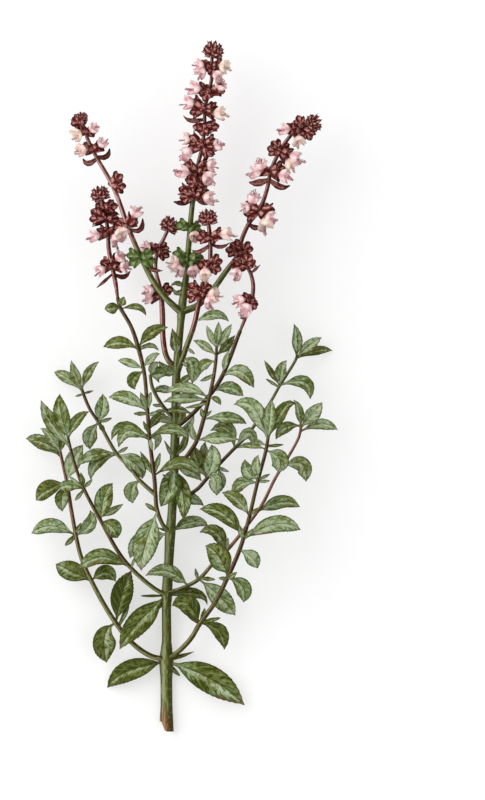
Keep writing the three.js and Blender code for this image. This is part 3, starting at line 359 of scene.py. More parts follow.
            [26.5, 207.5, 21.5, 213, 50, 14, 215.8, 47, 4.8, 0],
            [26.6, 207.5, 31.5, 212.5, 42, 37, 218.8, 39, 5.5, 0],
            [26.8, 211, 24, 217.5, 50, 21.3, 224, 47, 4, 0],
            [26.8, 212, 27.6, 219, 52, 27.8, 226, 50, 4.5, 0],
            [26.8, 211, 31, 218.5, 50, 35, 224.8, 47, 4.8, 0],
        ],
    },
    "leafy_right_upper": {
        "line": [
            [4, 168, 27.5, 1.3], [9, 171.5, 32, 1.3], [14.5, 176.5, 36, 1.3], [20.5, 183, 39, 1.3],
            [25.5, 189, 41.5, 1.3], [30, 196.5, 44, 1.3], [35, 208.5, 46, 1.3], [38.5, 218, 47, 1.2],
        ],
        "leaves": [
            [13.5, 175.5, 6, 178.5, 38, -0.5, 176.5, 35, 4.5, -20],
            [25, 188.5, 33, 191.5, 45, 41.5, 185.3, 39, 7.5, 15],
            [30, 196.5, 38.5, 201.5, 48, 47.3, 190, 40, 8.5, 15],
            [30.3, 197.5, 31.3, 204.5, 48, 34, 211, 49, 3.6, 0],
        ],
    },
}

# A whorl is (its place on the stem, its calyces, its corollas), each seen from above: the middle of a
# calyx's cup or of a corolla's mouth. A head is [x, y, z, radius].
SPIKES = {
    "spike_top": {
        "line": [
            [10.05, 251.4, 33, 1.6], [10.8, 260, 33.5, 1.6], [12, 275, 34, 1.5], [13.5, 291, 34.5, 1.4],
            [15.8, 303, 35, 1.2], [16.1, 310, 35, 1.1], [19, 323, 35.5, 1.1], [20.2, 336, 36, 1],
            [20.2, 343, 36, 1], [22.8, 353, 36, 1], [24.3, 362, 36, 1], [24.3, 372, 36, 0.9],
        ],
        "bracts": [
            [13.8, 293.5, 9, 291.5, 34, 3, 292.3, 32, 3.2, 0],
            [14.3, 296, 18.5, 291.3, 34, 24, 292.2, 33, 2.6, 0],
            [19.8, 337.5, 13.5, 336.3, 35, 8.5, 339.5, 35, 2.8, 0],
            [20, 335, 25.5, 336.8, 37, 2],
        ],
        "whorls": [
            ([10.8, 260.5], [[6, 263], [6.5, 257.8], [15, 257.5], [16, 261.5]],
             [[1.5, 259.3], [4.5, 253.2], [14.5, 252.5]]),
            ([11.7, 277.5], [[7.8, 279.2], [15.2, 276]], [[14.8, 271.8]]),
            ([14.3, 296.5], [[8.5, 298.5], [9.8, 294], [19.7, 297.3], [18.8, 295.3]], [[24.8, 293.8]]),
            ([15.7, 302.5], [[13.8, 302.8], [18, 303.3]], []),
            ([16.1, 309], [[12, 311.5], [12.3, 307.5], [20.8, 312.5], [19.8, 308.3]],
             [[6, 309.3], [25.7, 312], [23.8, 303.6]]),
            ([18.8, 323], [[13.5, 327], [13.3, 321.3], [24, 325.3], [24.8, 321.5], [21.8, 318.6]],
             [[8.3, 327], [8.3, 317.5], [29, 324]]),
            ([19.9, 331.8], [[19.3, 331.6], [25, 333.5]], []),
            ([20.2, 343], [[15.3, 346.6], [14.6, 341], [25, 343.3], [24.5, 340.6]],
             [[9, 346.5], [31, 340.6]]),
            ([22.5, 353], [[18.4, 354.2], [27.8, 353.2], [21, 351]], [[12.3, 354.8], [29.7, 357.2]]),
            ([24.2, 366], [[19.8, 366.3], [28, 367], [25, 363.6]],
             [[15.4, 367.6], [17, 361.4], [33, 366], [29, 360]]),
        ],
        "head": [25, 375, 36, 5.6],
    },
    "spike_left_tall": {
        "line": [
            [7, 231.5, 32.5, 1.7], [-1.9, 240, 43, 1.6], [-7.8, 248, 47, 1.6], [-14.5, 261, 49, 1.4],
            [-21, 276, 48, 1.3], [-29.9, 300, 46, 1.2], [-40, 318, 44, 1.1], [-44.6, 328, 43, 1],
            [-47, 336.5, 42, 0.9],
        ],
        "bracts": [
            [-12, 256, -7.5, 254.6, 49, -3, 254.2, 47, 2.4, 0],
            [-21, 277, -15.5, 275, 48, -13.8, 283, 47, 3, 0],
            [-39.5, 317, -34.3, 315.8, 44, -32, 321.3, 43, 3, 0],
            [-39, 316, -43.3, 312.4, 44, -46.6, 315.8, 43, 3.2, 0],
        ],
        "whorls": [
            ([-14.8, 261.3], [[-19.6, 263], [-18.6, 258.8], [-10, 259], [-11, 263]], []),
            ([-22, 279], [[-26.6, 278], [-19.3, 283.3]], [[-16.6, 288], [-24.7, 273.3]]),
            ([-30.3, 301.5], [[-27.7, 305], [-26.6, 300]], []),
            ([-41, 320.5], [[-37.6, 322.2], [-44.5, 320.4]], [[-49.5, 320], [-35, 325.3]]),
            ([-45.2, 330], [[-42.2, 330.4], [-48.4, 331]], [[-51.3, 328], [-39.8, 333.3]]),
            ([-46.9, 335.5], [[-50, 335.4]], []),
        ],
        "head": [-47.4, 338.2, 42, 3.5],
    },
    "spike_left_low": {
        "line": [
            [-27.42, 237.95, 36.85, 1.2], [-28.7, 247, 33, 1.2], [-30.5, 256, 31, 1.2],
            [-32.5, 266, 29.5, 1.2], [-33, 276, 29, 1.1], [-34.5, 285, 28.5, 1.1], [-36.3, 293, 28, 1],
        ],
        "bracts": [
            [-30, 253, -34.5, 249, 30, -39.3, 244.8, 28, 2, 0],
            [-29.7, 252.5, -25, 250.2, 31, -20.7, 254.3, 30, 2.8, 0],
            [-34, 282, -41.5, 278.6, 28, 2],
            [-34.3, 285, -30, 286.8, 30, -26.8, 284.8, 29, 1.8, 0],
        ],
        "whorls": [
            ([-30.7, 257.5], [[-34.6, 256], [-26.8, 256.6], [-28.4, 260]],
             [[-39, 253.3], [-25, 263], [-22, 256.4]]),
            ([-33, 275], [[-37, 274.2], [-29, 276.2]], [[-42.5, 273], [-27.5, 268.8]]),
            ([-34.3, 283.5], [[-39.8, 283], [-39.3, 287], [-29.6, 282.2]], []),
            ([-35.3, 289], [[-31.4, 289.4]], []),
        ],
        "head": [-37.3, 296, 28, 5.2],
    },
    "spike_left_inner": {
        "line": [
            [4.7, 199.5, 30, 1.5], [-0.6, 206.6, 29, 1.5], [-2.6, 216, 27, 1.5], [-3.1, 232, 25, 1.5],
            [-4, 243, 24, 1.2], [-6.8, 255.5, 24.5, 1], [-5.6, 265.5, 25, 1.1], [-2.3, 272, 25.5, 1],
            [0, 277, 26, 1],
        ],
        "bracts": [[-5, 265.8, 1.8, 264.6, 27, 1.8]],
        "whorls": [
            ([-4, 241.5], [[-7.6, 243], [-8.2, 239.8], [-0.8, 243.6]], [[-12.4, 243], [-12.3, 238.8]]),
            ([-5.6, 265.6], [[-10, 266], [-2.5, 263.2]], [[-13.4, 267.6]]),
        ],
        "head": [0.9, 278.9, 26, 5.3],
    },
    "spike_right_inner": {
        "line": [
            [5, 198, 30, 1.5], [8, 206, 34.8, 1.5], [10.4, 213, 37.5, 1.5], [14.2, 223.6, 42, 1.4],
            [17.5, 238, 46, 1.3], [20.3, 249, 48, 1.2], [23, 258, 49, 1.2], [23.3, 270, 49, 1.2],
            [22.3, 280, 49, 1.1],
        ],
        "bracts": [
            [15, 226, 25, 231.9, 48, 33.5, 226.2, 44, 5.5, 0],
            [11, 212, 14.8, 208.5, 37, 1.8],
            [8, 205.8, 14.5, 205.5, 38, 13.3, 192.3, 34, 8.5, 0],
            [7.8, 204.5, 12, 201.3, 35, 2.6],
            [22.9, 268.5, 18.3, 264.6, 50, 13.3, 265.4, 48, 2.8, 0],
            [23.3, 268.8, 28.5, 266.7, 50, 34, 269.7, 48, 2.2, 0],
        ],
        "whorls": [
            ([18.2, 241.5], [[13.6, 240], [14, 245], [21.6, 240.2], [20.6, 245.6]],
             [[27.5, 241], [24, 235.5]]),
            ([22.6, 256.5], [[20.2, 256], [26.4, 259.3], [26, 255.3]], [[20.6, 250.3]]),
            ([23.2, 272], [[19.2, 272], [28, 274]], [[35, 274.2]]),
        ],
        "head": [21.8, 283, 49, 5.3],
    },
    "spike_right_tall": {
        "line": [
            [7, 231.5, 32.5, 1.8], [16, 235, 31, 1.7], [24, 243, 30, 1.6], [32, 254, 30, 1.5],
            [38.5, 263, 30, 1.3], [40.8, 272, 31, 1.2], [45, 281, 32, 1.2], [50.2, 287.5, 33, 1.2],
            [54.5, 299, 34, 1.1], [56.5, 308.5, 34.5, 1.1], [61.5, 320, 35, 1.1], [70, 331, 36, 1],
            [76, 333.6, 36, 1],
        ],
        "bracts": [
            [44.3, 280, 48, 277.6, 32, 51, 279.4, 31, 3, 0],
            [55.7, 304.5, 49.5, 302.4, 35, 44.5, 303, 34, 4, 0],
            [55.7, 304.5, 61.3, 300, 35, 67.2, 301.3, 34, 3.4, 0],
        ],
        "whorls": [
            ([39.3, 265.3], [[35.4, 265], [37.5, 267.6], [43, 266.3], [41.8, 263.3]], []),
            ([50, 287.2], [[44.6, 284.3], [45.4, 290.2], [53.4, 284], [56.3, 287.7]],
             [[41, 288.5], [58, 283], [47.5, 296.3], [54, 277]]),
            ([56.5, 308.5], [[51.8, 309], [61, 310.6], [60.5, 306.7]],
             [[45.6, 308], [50.6, 314.4], [66.4, 306]]),
            ([61.5, 320], [[58, 320.2], [59.5, 323], [66.3, 318.4], [65, 315.8]], [[73, 315.5], [69, 311]]),
            ([69.8, 331], [[67.3, 331.9], [72, 328.6]], [[62.3, 332], [72.2, 323.6]]),
            ([74.3, 333], [[72.3, 336.3], [77.3, 329]], []),
        ],
        "head": [79.8, 335.2, 36, 5],
    },
    "spike_right_hooked": {
        "line": [
            [38.68, 218.42, 47, 1.2], [43.3, 230.3, 47.5, 1.1], [46.3, 239, 48, 1.1], [46.8, 247, 48, 1.1],
            [44.7, 254.2, 48, 1], [41.5, 257.8, 48, 1],
        ],
        "bracts": [[43, 229.5, 39.8, 228, 47, 2], [46, 253, 50.6, 257.2, 48, 2]],
        "whorls": [
            ([46, 237.5], [[42.4, 238.5], [45.8, 235]], [[37, 237.3], [41.2, 231.6]]),
            ([43, 257], [[43.8, 260.3], [38.6, 255.6]], [[36.9, 250.8]]),
        ],
        "head": [38.6, 257.8, 48, 4],
    },
}

# A stem's colours: its body, the painted highlight on its ridge and the painted shade on its dark side.
GREEN = ((94, 100, 34), (148, 156, 112), (52, 54, 0))
OLIVE = ((88, 86, 36), (150, 150, 102), (52, 42, 4))
BROWN = ((64, 42, 14), (132, 108, 70), (30, 14, 0))
TAN = ((116, 78, 54), (186, 148, 122), (70, 36, 18))
REDDISH = ((94, 48, 34), (166, 120, 100), (58, 18, 8))
MAROON = ((94, 26, 20), (206, 152, 142), (54, 8, 3))
ROSY = ((120, 58, 48), (214, 176, 164), (76, 26, 18))
CUT = ((92, 72, 30), (166, 124, 90), (58, 44, 6))

# A stem's girth, its colours at its root and further up, how far up the plan they change, over what length,
# and, for the main stem, where across it the painted highlight of the ridge gives way to the painted shade.
STEM_LOOKS = {
    "main_stem": (THICK_GIRTH, CUT, GREEN, 11, 14, 0.02),
    "leafy_left_low": (THIN_GIRTH, OLIVE, REDDISH, 112, 40),
    "leafy_left_middle": (0.84, OLIVE, BROWN, 92, 20),
    "leafy_left_front": (0.86, OLIVE, BROWN, 122, 20),
    "leafy_left_inner": (THIN_GIRTH, OLIVE, BROWN, 168, 20),
    "leafy_left_short": (THIN_GIRTH, OLIVE, OLIVE, 150, 20),
    "leafy_right_low": (THIN_GIRTH, OLIVE, BROWN, 70, 60),
    "leafy_right_outer": (0.8, OLIVE, TAN, 92, 14),
    "leafy_right_middle": (0.84, BROWN, OLIVE, 158, 24),
    "leafy_right_front": (THIN_GIRTH, OLIVE, BROWN, 70, 60),
    "leafy_right_upper": (THIN_GIRTH, OLIVE, BROWN, 70, 60),
    "spike_top": (THICK_GIRTH, GREEN, MAROON, 296, 8),
    "spike_left_tall": (THICK_GIRTH, GREEN, ROSY, 268, 10),
    "spike_left_low": (THICK_GIRTH, OLIVE, MAROON, 222, 12),
    "spike_left_inner": (THICK_GIRTH, OLIVE, ROSY, 208, 16),
    "spike_right_inner": (THICK_GIRTH, OLIVE, MAROON, 222, 12),
    "spike_right_tall": (THICK_GIRTH, GREEN, MAROON, 256, 10),
    "spike_right_hooked": (THICK_GIRTH, OLIVE, MAROON, 222, 12),
}
RUN_ON = {                        # where a stem ends inside the spike that goes straight on from it
    "main_stem": [[10.3, 254, 33.1, 1.4]],
    "leafy_left_front": [[-27.6, 239.5, 36.4, 1.2]],
    "leafy_right_upper": [[39.8, 221.2, 47, 1.2]],
}
GOING_ON = ("spike_top", "spike_left_low", "spike_right_hooked")             # the spikes that do so
GREEN_WHORLS = {"spike_top": 2, "spike_left_tall": 1}     # how many of the lowest whorls are still green
STEM_SHOWS = ("spike_right_tall", "spike_left_tall")      # no calyx lies across the front of these stems
PINK_SPIKES = ("spike_right_hooked", "spike_left_low", "spike_left_inner")   # their flowers' tones are
PINK_ONLY = 0.6                                           # below this, so that hardly one is cream

# The share of its full width that a leaf has along its length, as (along, width) pairs.
BROAD = [(0, 0.09), (0.08, 0.09), (0.14, 0.14), (0.21, 0.42), (0.31, 0.76), (0.42, 0.95), (0.52, 1),
         (0.62, 0.96), (0.72, 0.83), (0.82, 0.58), (0.91, 0.3), (0.97, 0.1), (1, 0.02)]
NARROW = [(0, 0.14), (0.12, 0.16), (0.22, 0.42), (0.36, 0.86), (0.5, 1), (0.66, 0.84), (0.82, 0.5),
          (0.93, 0.2), (1, 0.02)]
SLIM = [(0, 0.4), (0.3, 0.8), (0.5, 1), (0.75, 0.7), (0.92, 0.3), (1, 0.04)]
CANOE = [(0, 0.25), (0.2, 0.7), (0.42, 1), (0.62, 0.9), (0.8, 0.5), (0.92, 0.2), (1, 0.03)]


# ---- working by hand ----------------------------------------------------------------------------------
def place(x, y, z):
    """A place in the plan, in the model's metres."""
    return Vector((x - REST_POINT[0], y - REST_POINT[1], z)) / 1000


def deselect():
    if bpy.context.object and bpy.context.object.mode != "OBJECT":
        bpy.ops.object.mode_set(mode="OBJECT")
    bpy.ops.object.select_all(action="DESELECT")


def only(piece):
    deselect()
    piece.select_set(True)
    bpy.context.view_layer.objects.active = piece
    return piece


def edit(piece):
    only(piece)
    bpy.ops.object.mode_set(mode="EDIT")
    bpy.ops.mesh.select_mode(type="VERT")


def pick(piece, test):
    """Selects the points of a piece in edit mode whose place passes the test."""
    bpy.ops.mesh.select_all(action="DESELECT")
    mesh = bmesh.from_edit_mesh(piece.data)
    for point in mesh.verts:
        point.select = test(point.co)
    mesh.select_flush(True)
    bmesh.update_edit_mesh(piece.data)


def done(piece, *materials):
    """Leaves edit mode, smooths a piece and gives it its materials."""
    bpy.ops.object.mode_set(mode="OBJECT")
    bpy.ops.object.shade_smooth()
    for material in materials:
        piece.data.materials.append(material)
    return piece


def copy_of(piece):
    copy = piece.copy()
    copy.data = piece.data.copy()
    bpy.context.collection.objects.link(copy)
    return copy


def apply(piece, kind, **settings):
    modifier = only(piece).modifiers.new("shape", kind)
    for name, value in settings.items():
        setattr(modifier, name, value)
    bpy.ops.object.modifier_apply(modifier="shape")


def join(pieces, name):
    deselect()
    for piece in pieces:
        piece.select_set(True)
    bpy.context.view_layer.objects.active = pieces[0]
    bpy.ops.object.join()
    whole = only(bpy.context.object)
    bpy.ops.object.transform_apply(location=True, rotation=True, scale=True)
    whole.name = whole.data.name = name
    return whole


def paint(piece, **values):
    """Gives every point of a copy the same number, for its material to read."""
    for name, value in values.items():
        layer = piece.data.attributes.new(name, "FLOAT", "POINT")
        layer.data.foreach_set("value", [value] * len(piece.data.vertices))


def share_at(steps, t):
    """The value at t of a list of (t, value) pairs."""
    for (t0, a), (t1, b) in zip(steps, steps[1:]):
        if t <= t1:
            return a + (b - a) * (t - t0) / (t1 - t0)
    return steps[-1][1]


# ---- lines --------------------------------------------------------------------------------------------
def with_handles(line):
    """A stem's points, each with the two handles that run the curve smoothly through them all."""
    spots = [place(x, y, z) for x, y, z, _ in line]
    spots = [spots[0] * 2 - spots[1], *spots, spots[-1] * 2 - spots[-2]]
    points = []
    for before, spot, after in zip(spots, spots[1:], spots[2:]):
        a, b = math.sqrt((spot - before).length), math.sqrt((after - spot).length)
        course = (spot - before) / a - (after - before) / (a + b) + (after - spot) / b
        points.append((spot - course * a / 3, spot, spot + course * b / 3))
    return points


def on_axis(line, x, y):
    """The point of a stem's axis nearest to a place in the plan, and the stem's direction there."""
    points, flat = with_handles(line), place(x, y, 0).xy
    run = [spot for (_, p, right), (left, q, _) in zip(points, points[1:])
           for spot in interpolate_bezier(p, right, left, q, 41)]
    nearest = min(range(len(run)), key=lambda i: (run[i].xy - flat).length)
    step = min(max(nearest, 1), len(run) - 2)
    return run[nearest], (run[step + 1] - run[step - 1]).normalized()


def curve_object(points, radii, tilts, steps=8):
    """A Blender curve whose sections keep their top side up, apart from the tilt."""
    curve = bpy.data.curves.new("line", "CURVE")
    curve.dimensions, curve.twist_mode, curve.resolution_u = "3D", "Z_UP", steps
    spline = curve.splines.new("BEZIER")
    spline.bezier_points.add(len(points) - 1)
    for knot, (left, spot, right), radius, tilt in zip(spline.bezier_points, points, radii, tilts):
        knot.handle_left_type = knot.handle_right_type = "FREE"
        knot.handle_left, knot.co, knot.handle_right = left, spot, right
        knot.radius, knot.tilt = radius, tilt
    track = bpy.data.objects.new("line", curve)
    bpy.context.collection.objects.link(track)
    return track


# ---- what is modelled once ----------------------------------------------------------------------------
def stem_section(sides=20):
    """The round-cornered square of a basil stem, 1 from middle to corner."""
    deselect()
    bpy.ops.mesh.primitive_circle_add(vertices=sides, radius=1)
    section = bpy.context.object
    edit(section)
    for step, reach in ((1, 0.9), (2, 0.83)):
        away = math.sin(math.tau * step / sides)
        pick(section, lambda spot: abs(min(abs(spot.x), abs(spot.y)) - away) < NEAR)
        bpy.ops.transform.resize(value=(reach, reach, 1), center_override=(0, 0, 0))
    bpy.ops.object.mode_set(mode="OBJECT")
    bpy.ops.object.convert(target="CURVE")
    section.data.splines[0].use_smooth = True
    return section


def blade(name, steps, across, outline, fold, droop, teeth, *materials):
    """A leaf 1 long and 1 wide along X, folded up from its midrib, with its margins turned down again."""
    deselect()
    bpy.ops.mesh.primitive_grid_add(x_subdivisions=steps, y_subdivisions=across, size=1)
    piece = bpy.context.object
    thick = piece.vertex_groups.new(name="thick")
    for i, point in enumerate(piece.data.vertices):
        petiole = 1 - max(point.co.x + 0.5 - PETIOLE_END, 0) / PETIOLE_FADE
        rib = 1 - THIN_FROM_MIDRIB * abs(point.co.y) * 2
        thick.add([i], max(rib, petiole, MARGIN_THICK), "REPLACE")
    edit(piece)
    for row in range(across + 1):
        y = row / across - 0.5
        pick(piece, lambda spot: abs(spot.y - y) < NEAR)
        bpy.ops.transform.translate(value=(0, 0, fold * abs(y) - droop * y * y))
    for step in range(steps + 1):
        x = step / steps - 0.5
        width = max(share_at(outline, x + 0.5), TIP_WIDTH)
        pick(piece, lambda spot: abs(spot.x - x) < NEAR)
        bpy.ops.transform.resize(value=(1, width, width), center_override=(x, 0, 0))
        if step % 2 and TOOTHED_FROM < x + 0.5 < TOOTHED_TO:
            pick(piece, lambda spot: abs(spot.x - x) < NEAR and abs(spot.y) > 0.49 * width)
            bpy.ops.transform.resize(value=(1, 1 + teeth, 1), center_override=(x, 0, 0))
            bpy.ops.transform.translate(value=(TOOTH_LEAN / steps, 0, 0))
    piece.name = name
    return done(piece, *materials)


def rings(name, sides, profile, throat):
    """A closed form of rings stacked up Z, from (height, radius) pairs, with a throat going down again."""
    deselect()
    height, radius = profile[0]
    bpy.ops.mesh.primitive_cylinder_add(vertices=sides, radius=radius, depth=0.01,
                                        location=(0, 0, height - 0.005))
    piece = bpy.context.object
    bpy.ops.object.transform_apply(location=True)
    edit(piece)
    pick(piece, lambda spot: spot.z > height - NEAR)
    for next_height, next_radius in profile[1:] + throat:
        bpy.ops.mesh.extrude_region_move(TRANSFORM_OT_translate={"value": (0, 0, next_height - height)})
        scale = next_radius / radius
        bpy.ops.transform.resize(value=(scale, scale, 1), center_override=(0, 0, next_height))
        height, radius = next_height, next_radius
    piece.name = name
    return done(piece)


def remember(piece):
    """Keeps each point's own place in the finished pattern piece, for every copy's material to read."""
    layer = piece.data.attributes.new("own", "FLOAT_VECTOR", "POINT")
    layer.data.foreach_set("vector", [number for point in piece.data.vertices for number in point.co])
    return piece


def around(degrees, reach):
    """A test for the points within `reach` degrees of a direction, on either side of the X axis."""
    return lambda spot: abs(abs(math.degrees(math.atan2(spot.y, spot.x))) - degrees) < reach


def scallop(piece, above, moves):
    """Shapes a rim into lobes: each (degrees from +X, flare, lift) widens and raises its points."""
    for degrees, flare, lift in moves:
        near = around(degrees, 5)
        pick(piece, lambda spot: spot.z > above and near(spot))
        bpy.ops.transform.resize(value=(flare, flare, 1), center_override=(0, 0, 0))
        bpy.ops.transform.translate(value=(0, 0, lift))


def calyx_pattern():
    """A stalked cup 1 long up Z: one broad round lip towards +X, three more lobes, and a filled throat."""
    profile = [(0.05, 0.045), (0.15, 0.05), (0.22, 0.14), (0.31, 0.26), (0.45, 0.32), (0.6, 0.34),
               (0.75, 0.35), (0.9, 0.38)]
    piece = rings("calyx", 16, profile, throat=[(0.82, 0.3), (0.62, 0.13)])
    edit(piece)
    scallop(piece, 0.88, [(0, 1.16, 0.05), (22.5, 1.16, 0.04), (45, 0.95, -0.1), (67.5, 1.04, -0.01),
                          (90, 1.08, 0.06), (112.5, 1.02, -0.01), (135, 0.88, -0.11), (157.5, 1, 0.03),
                          (180, 1.06, 0.09)])
    return remember(done(piece))


def corolla_pattern():
    """An open two-lipped flower 1 long up Z: frilled lobes above, one long lip below, and four stamens."""
    profile = [(0, 0.13), (0.12, 0.19), (0.24, 0.35), (0.38, 0.5), (0.56, 0.57), (0.76, 0.52)]
    piece = rings("corolla", 16, profile, throat=[(0.68, 0.4), (0.52, 0.24), (0.42, 0.08)])
    edit(piece)
    scallop(piece, 0.74, [(0, 0.96, 0.02), (22.5, 1.26, 0.1), (45, 0.98, -0.02), (67.5, 1.32, 0.04),
                          (90, 0.95, -0.08), (112.5, 1, -0.1), (135, 1.2, 0.04), (157.5, 1.2, 0.16),
                          (180, 1.12, 0.22)])
    remember(done(piece))
    for turn, length in ((-0.5, 1.15), (-0.15, 1.25), (0.2, 1.2), (0.55, 1.1)):
        profile = [(0.3, 0.02), (length - 0.1, 0.014), (length - 0.08, 0.045), (length, 0.03)]
        stamen = rings("stamen", 4, profile, throat=[(length + 0.01, 0.005)])
        lean = Matrix.Rotation(-0.12, 4, "Y") @ Matrix.Rotation(-turn * 0.35, 4, "X")
        stamen.matrix_world = Matrix.Translation((-0.05, turn * 0.1, 0)) @ lean
        piece = join([piece, remember(stamen)], "corolla")
    return piece


def bud_pattern():
    """A calyx that is still shut, 1 long up Z: a round body whose lip and teeth meet in a short point."""
    profile = [(0.02, 0.16), (0.12, 0.32), (0.32, 0.46), (0.55, 0.47), (0.74, 0.38), (0.86, 0.24)]
    piece = rings("bud", 8, profile, throat=[(0.78, 0.1)])
    edit(piece)
    scallop(piece, 0.85, [(0, 1.5, 0.12), (45, 1.1, 0), (90, 0.9, 0.06), (135, 0.8, 0), (180, 1.1, 0.16)])
    return remember(done(piece))


# ---- placing copies -----------------------------------------------------------------------------------
def stem_along(name, line, root=ROOT_SWELL):
    """A stem that follows its line, thicker or thinner at its root."""
    girth, *look = STEM_LOOKS[name]
    radii = [half * girth / 1000 for *_, half in line]
    radii[0] *= root
    track = curve_object(with_handles(line), radii, [RIDGE_TURN] * len(line))
    track.data.bevel_mode, track.data.bevel_object = "OBJECT", SECTION
    track.data.use_fill_caps = True
    only(track)
    bpy.ops.object.convert(target="MESH")
    piece = bpy.context.object
    piece.name = piece.data.name = name + "_stalk"
    bpy.ops.object.shade_smooth_by_angle(angle=math.radians(50))
    piece.data.materials.clear()
    piece.data.materials.append(stem_finish(*look))
    return piece


def torn(piece):
    """The cut end: a strip of the left side has torn off higher than the rest, and the pith shows."""
    end = min(point.co.y for point in piece.data.vertices)
    for point in piece.data.vertices:
        near = max(0, 1 - (point.co.y - end) * 1000 / TORN_REACH)
        left = min(max((TORN_FROM - point.co.x * 1000) / TORN_OVER, 0), 1)
        point.co.y += TORN_LIFT / 1000 * near * left
    piece.data.materials.append(PITH)
    for face in piece.data.polygons:
        if face.normal.y < CUT_FACES and face.center.y < end + (TORN_LIFT + 1) / 1000:
            face.material_index = 1
    return piece


def leaf_along(pattern, line, row, tone):
    """One copy of a leaf pattern, bent along its own curve from the stem's axis to its tip."""
    root, _ = on_axis(line, row[0], row[1])
    if len(row) == 6:
        tip, (width, roll) = place(*row[2:5]), (row[5], 0)
        middle = (root + tip) / 2 + Vector((0, 0, SMALL_ARCH / 1000))
    else:
        middle, tip, (width, roll) = place(*row[2:5]), place(*row[5:8]), row[8:10]
    pull = middle * 2 - root / 2 - tip / 2
    lean = (root + tip) / 2 * (1 - ROOT_ARCH) + pull * ROOT_ARCH
    ends = ((root * 2 - lean, root, root + (lean - root) * 2 / 3),
            (tip + (pull - tip) * 2 / 3, tip, tip * 2 - pull))
    twist = random.uniform(-LEAF_TWIST, LEAF_TWIST)
    track = curve_object(ends, (1, 1), [math.radians(-roll - twist), math.radians(-roll + twist)], 12)
    track.data.use_stretch = track.data.use_deform_bounds = True
    leaf = copy_of(pattern)
    leaf.data.transform(Matrix.Diagonal((1, width / 1000, width / 1000, 1)))
    lower = LOWER_HALF * (root.x - tip.x) / (root - tip).length
    for vertex in leaf.data.vertices:
        vertex.co.y *= 1 + lower * math.copysign(1, vertex.co.y)
    # The sign picks the half of the blade that gets the painted highlight: the half lower in the plan.
    paint(leaf, tone=tone, belly=1 if tip.x < root.x else -1)
    apply(leaf, "CURVE", object=track, deform_axis="POS_X")
    bpy.data.objects.remove(track)
    return leaf


def leaves_on(name, line, rows, look="leaf"):
    """All the leaves of one stem as one piece, waved and given their thickness."""
    leaves = []
    for row in rows:
        width = row[-1] if len(row) == 6 else row[8]
        pattern = next(pattern for widest, pattern in PATTERNS[look] if width < widest)
        low = LOW_DARKER if row[1] < LOW_LEAVES else 0
        leaves.append(leaf_along(pattern, line, row, random.uniform(0.05, 0.95) - low))
    piece = join(leaves, name)
    apply(piece, "DISPLACE", texture=WAVES, texture_coords="LOCAL", direction="NORMAL",
          strength=WAVE_HEIGHT / 1000, mid_level=0.5)
    apply(piece, "SOLIDIFY", thickness=LEAF_THICK / 1000, offset=0, vertex_group="thick",
          material_offset=1, use_even_offset=False)
    piece.vertex_groups.clear()
    return piece


def turned(root, reach, lip, size):
    """The place of a copy whose Z runs along its reach and whose X leans towards `lip`."""
    up = reach.normalized()
    side = up.cross(lip).normalized()
    turn = Matrix((side.cross(up), side, up)).transposed().to_4x4()
    return Matrix.Translation(root) @ turn @ Matrix.Diagonal((*size, 1))


def calyx_reaches(name, root, course, cups):
    """Where a whorl's calyces reach from its root: those in the plan, and those behind and in front."""
    reaches = []
    for x, y in cups:
        side = (place(x, y, 0) - root) * CALYX_PAST_MIDDLE
        side.z = 0
        side.z = math.sqrt(max((CALYX_REACH / 1000) ** 2 - side.length_squared, 0))
        reaches.append(side)
    behind = [Vector(reach) / 1000 for reach in CALYX_BENEATH
              if not reach[0] or any(side.x * reach[0] > 0 for side in reaches)]
    aside = course.cross((0, 0, 1)).normalized()
    ahead = [(aside * right + course * along + Vector((0, 0, up))) / 1000
             for right, along, up in (() if name in STEM_SHOWS else CALYX_FRONT)]
    return reaches, behind + ahead


def corolla_from(root, reaches, course, x, y):
    """One open flower, from the calyx whose rim is nearest to its mouth."""
    target = place(x, y, 0)
    rim = min((root + reach for reach in reaches), key=lambda spot: (spot.xy - target.xy).length)
    start = root.lerp(rim, COROLLA_FROM)
    target.z = rim.z + COROLLA_LIFT / 1000
    reach = (target - start) * COROLLA_PAST_MIDDLE
    corolla = copy_of(PATTERNS["corolla"])
    wide = COROLLA_WIDTH * random.uniform(1 - COROLLA_SPREAD, 1 + COROLLA_SPREAD) / 1000
    turn = Matrix.Rotation(random.uniform(-COROLLA_TURN, COROLLA_TURN), 3, reach)
    corolla.matrix_world = turned(start, reach, turn @ course, (wide, wide, reach.length))
    for vertex in corolla.data.vertices:
        if vertex.co.z > RUFFLED_ABOVE:
            vertex.co += Vector(random.uniform(-RUFFLE, RUFFLE) for _ in range(3))
    return corolla


def flower_parts(name, line, whorls):
    """The calyces and open flowers of a spike's whorls; flowers with a low tone are pink, others cream."""
    calyces, corollas = [], []
    for number, (at, cups, mouths) in enumerate(whorls):
        root, course = on_axis(line, *at)
        reaches, hidden = calyx_reaches(name, root, course, cups)
        for reach in reaches + hidden:
            calyx = copy_of(PATTERNS["calyx"])
            size = reach.length * random.uniform(*CALYX_LONG)
            wide, deep = (share * size for share in CALYX_SLIM)
            calyx.matrix_world = turned(root, reach, course, (wide, deep, size))
            paint(calyx, tone=random.random())
            calyx.data.materials.append(CALYX_GREEN if number < GREEN_WHORLS.get(name, 0) else CALYX)
            calyces.append(calyx)
        for x, y in mouths:
            corolla = corolla_from(root, reaches, course, x, y)
            paint(corolla, tone=random.random() * (PINK_ONLY if name in PINK_SPIKES else 1))
            corollas.append(corolla)
    return calyces, corollas


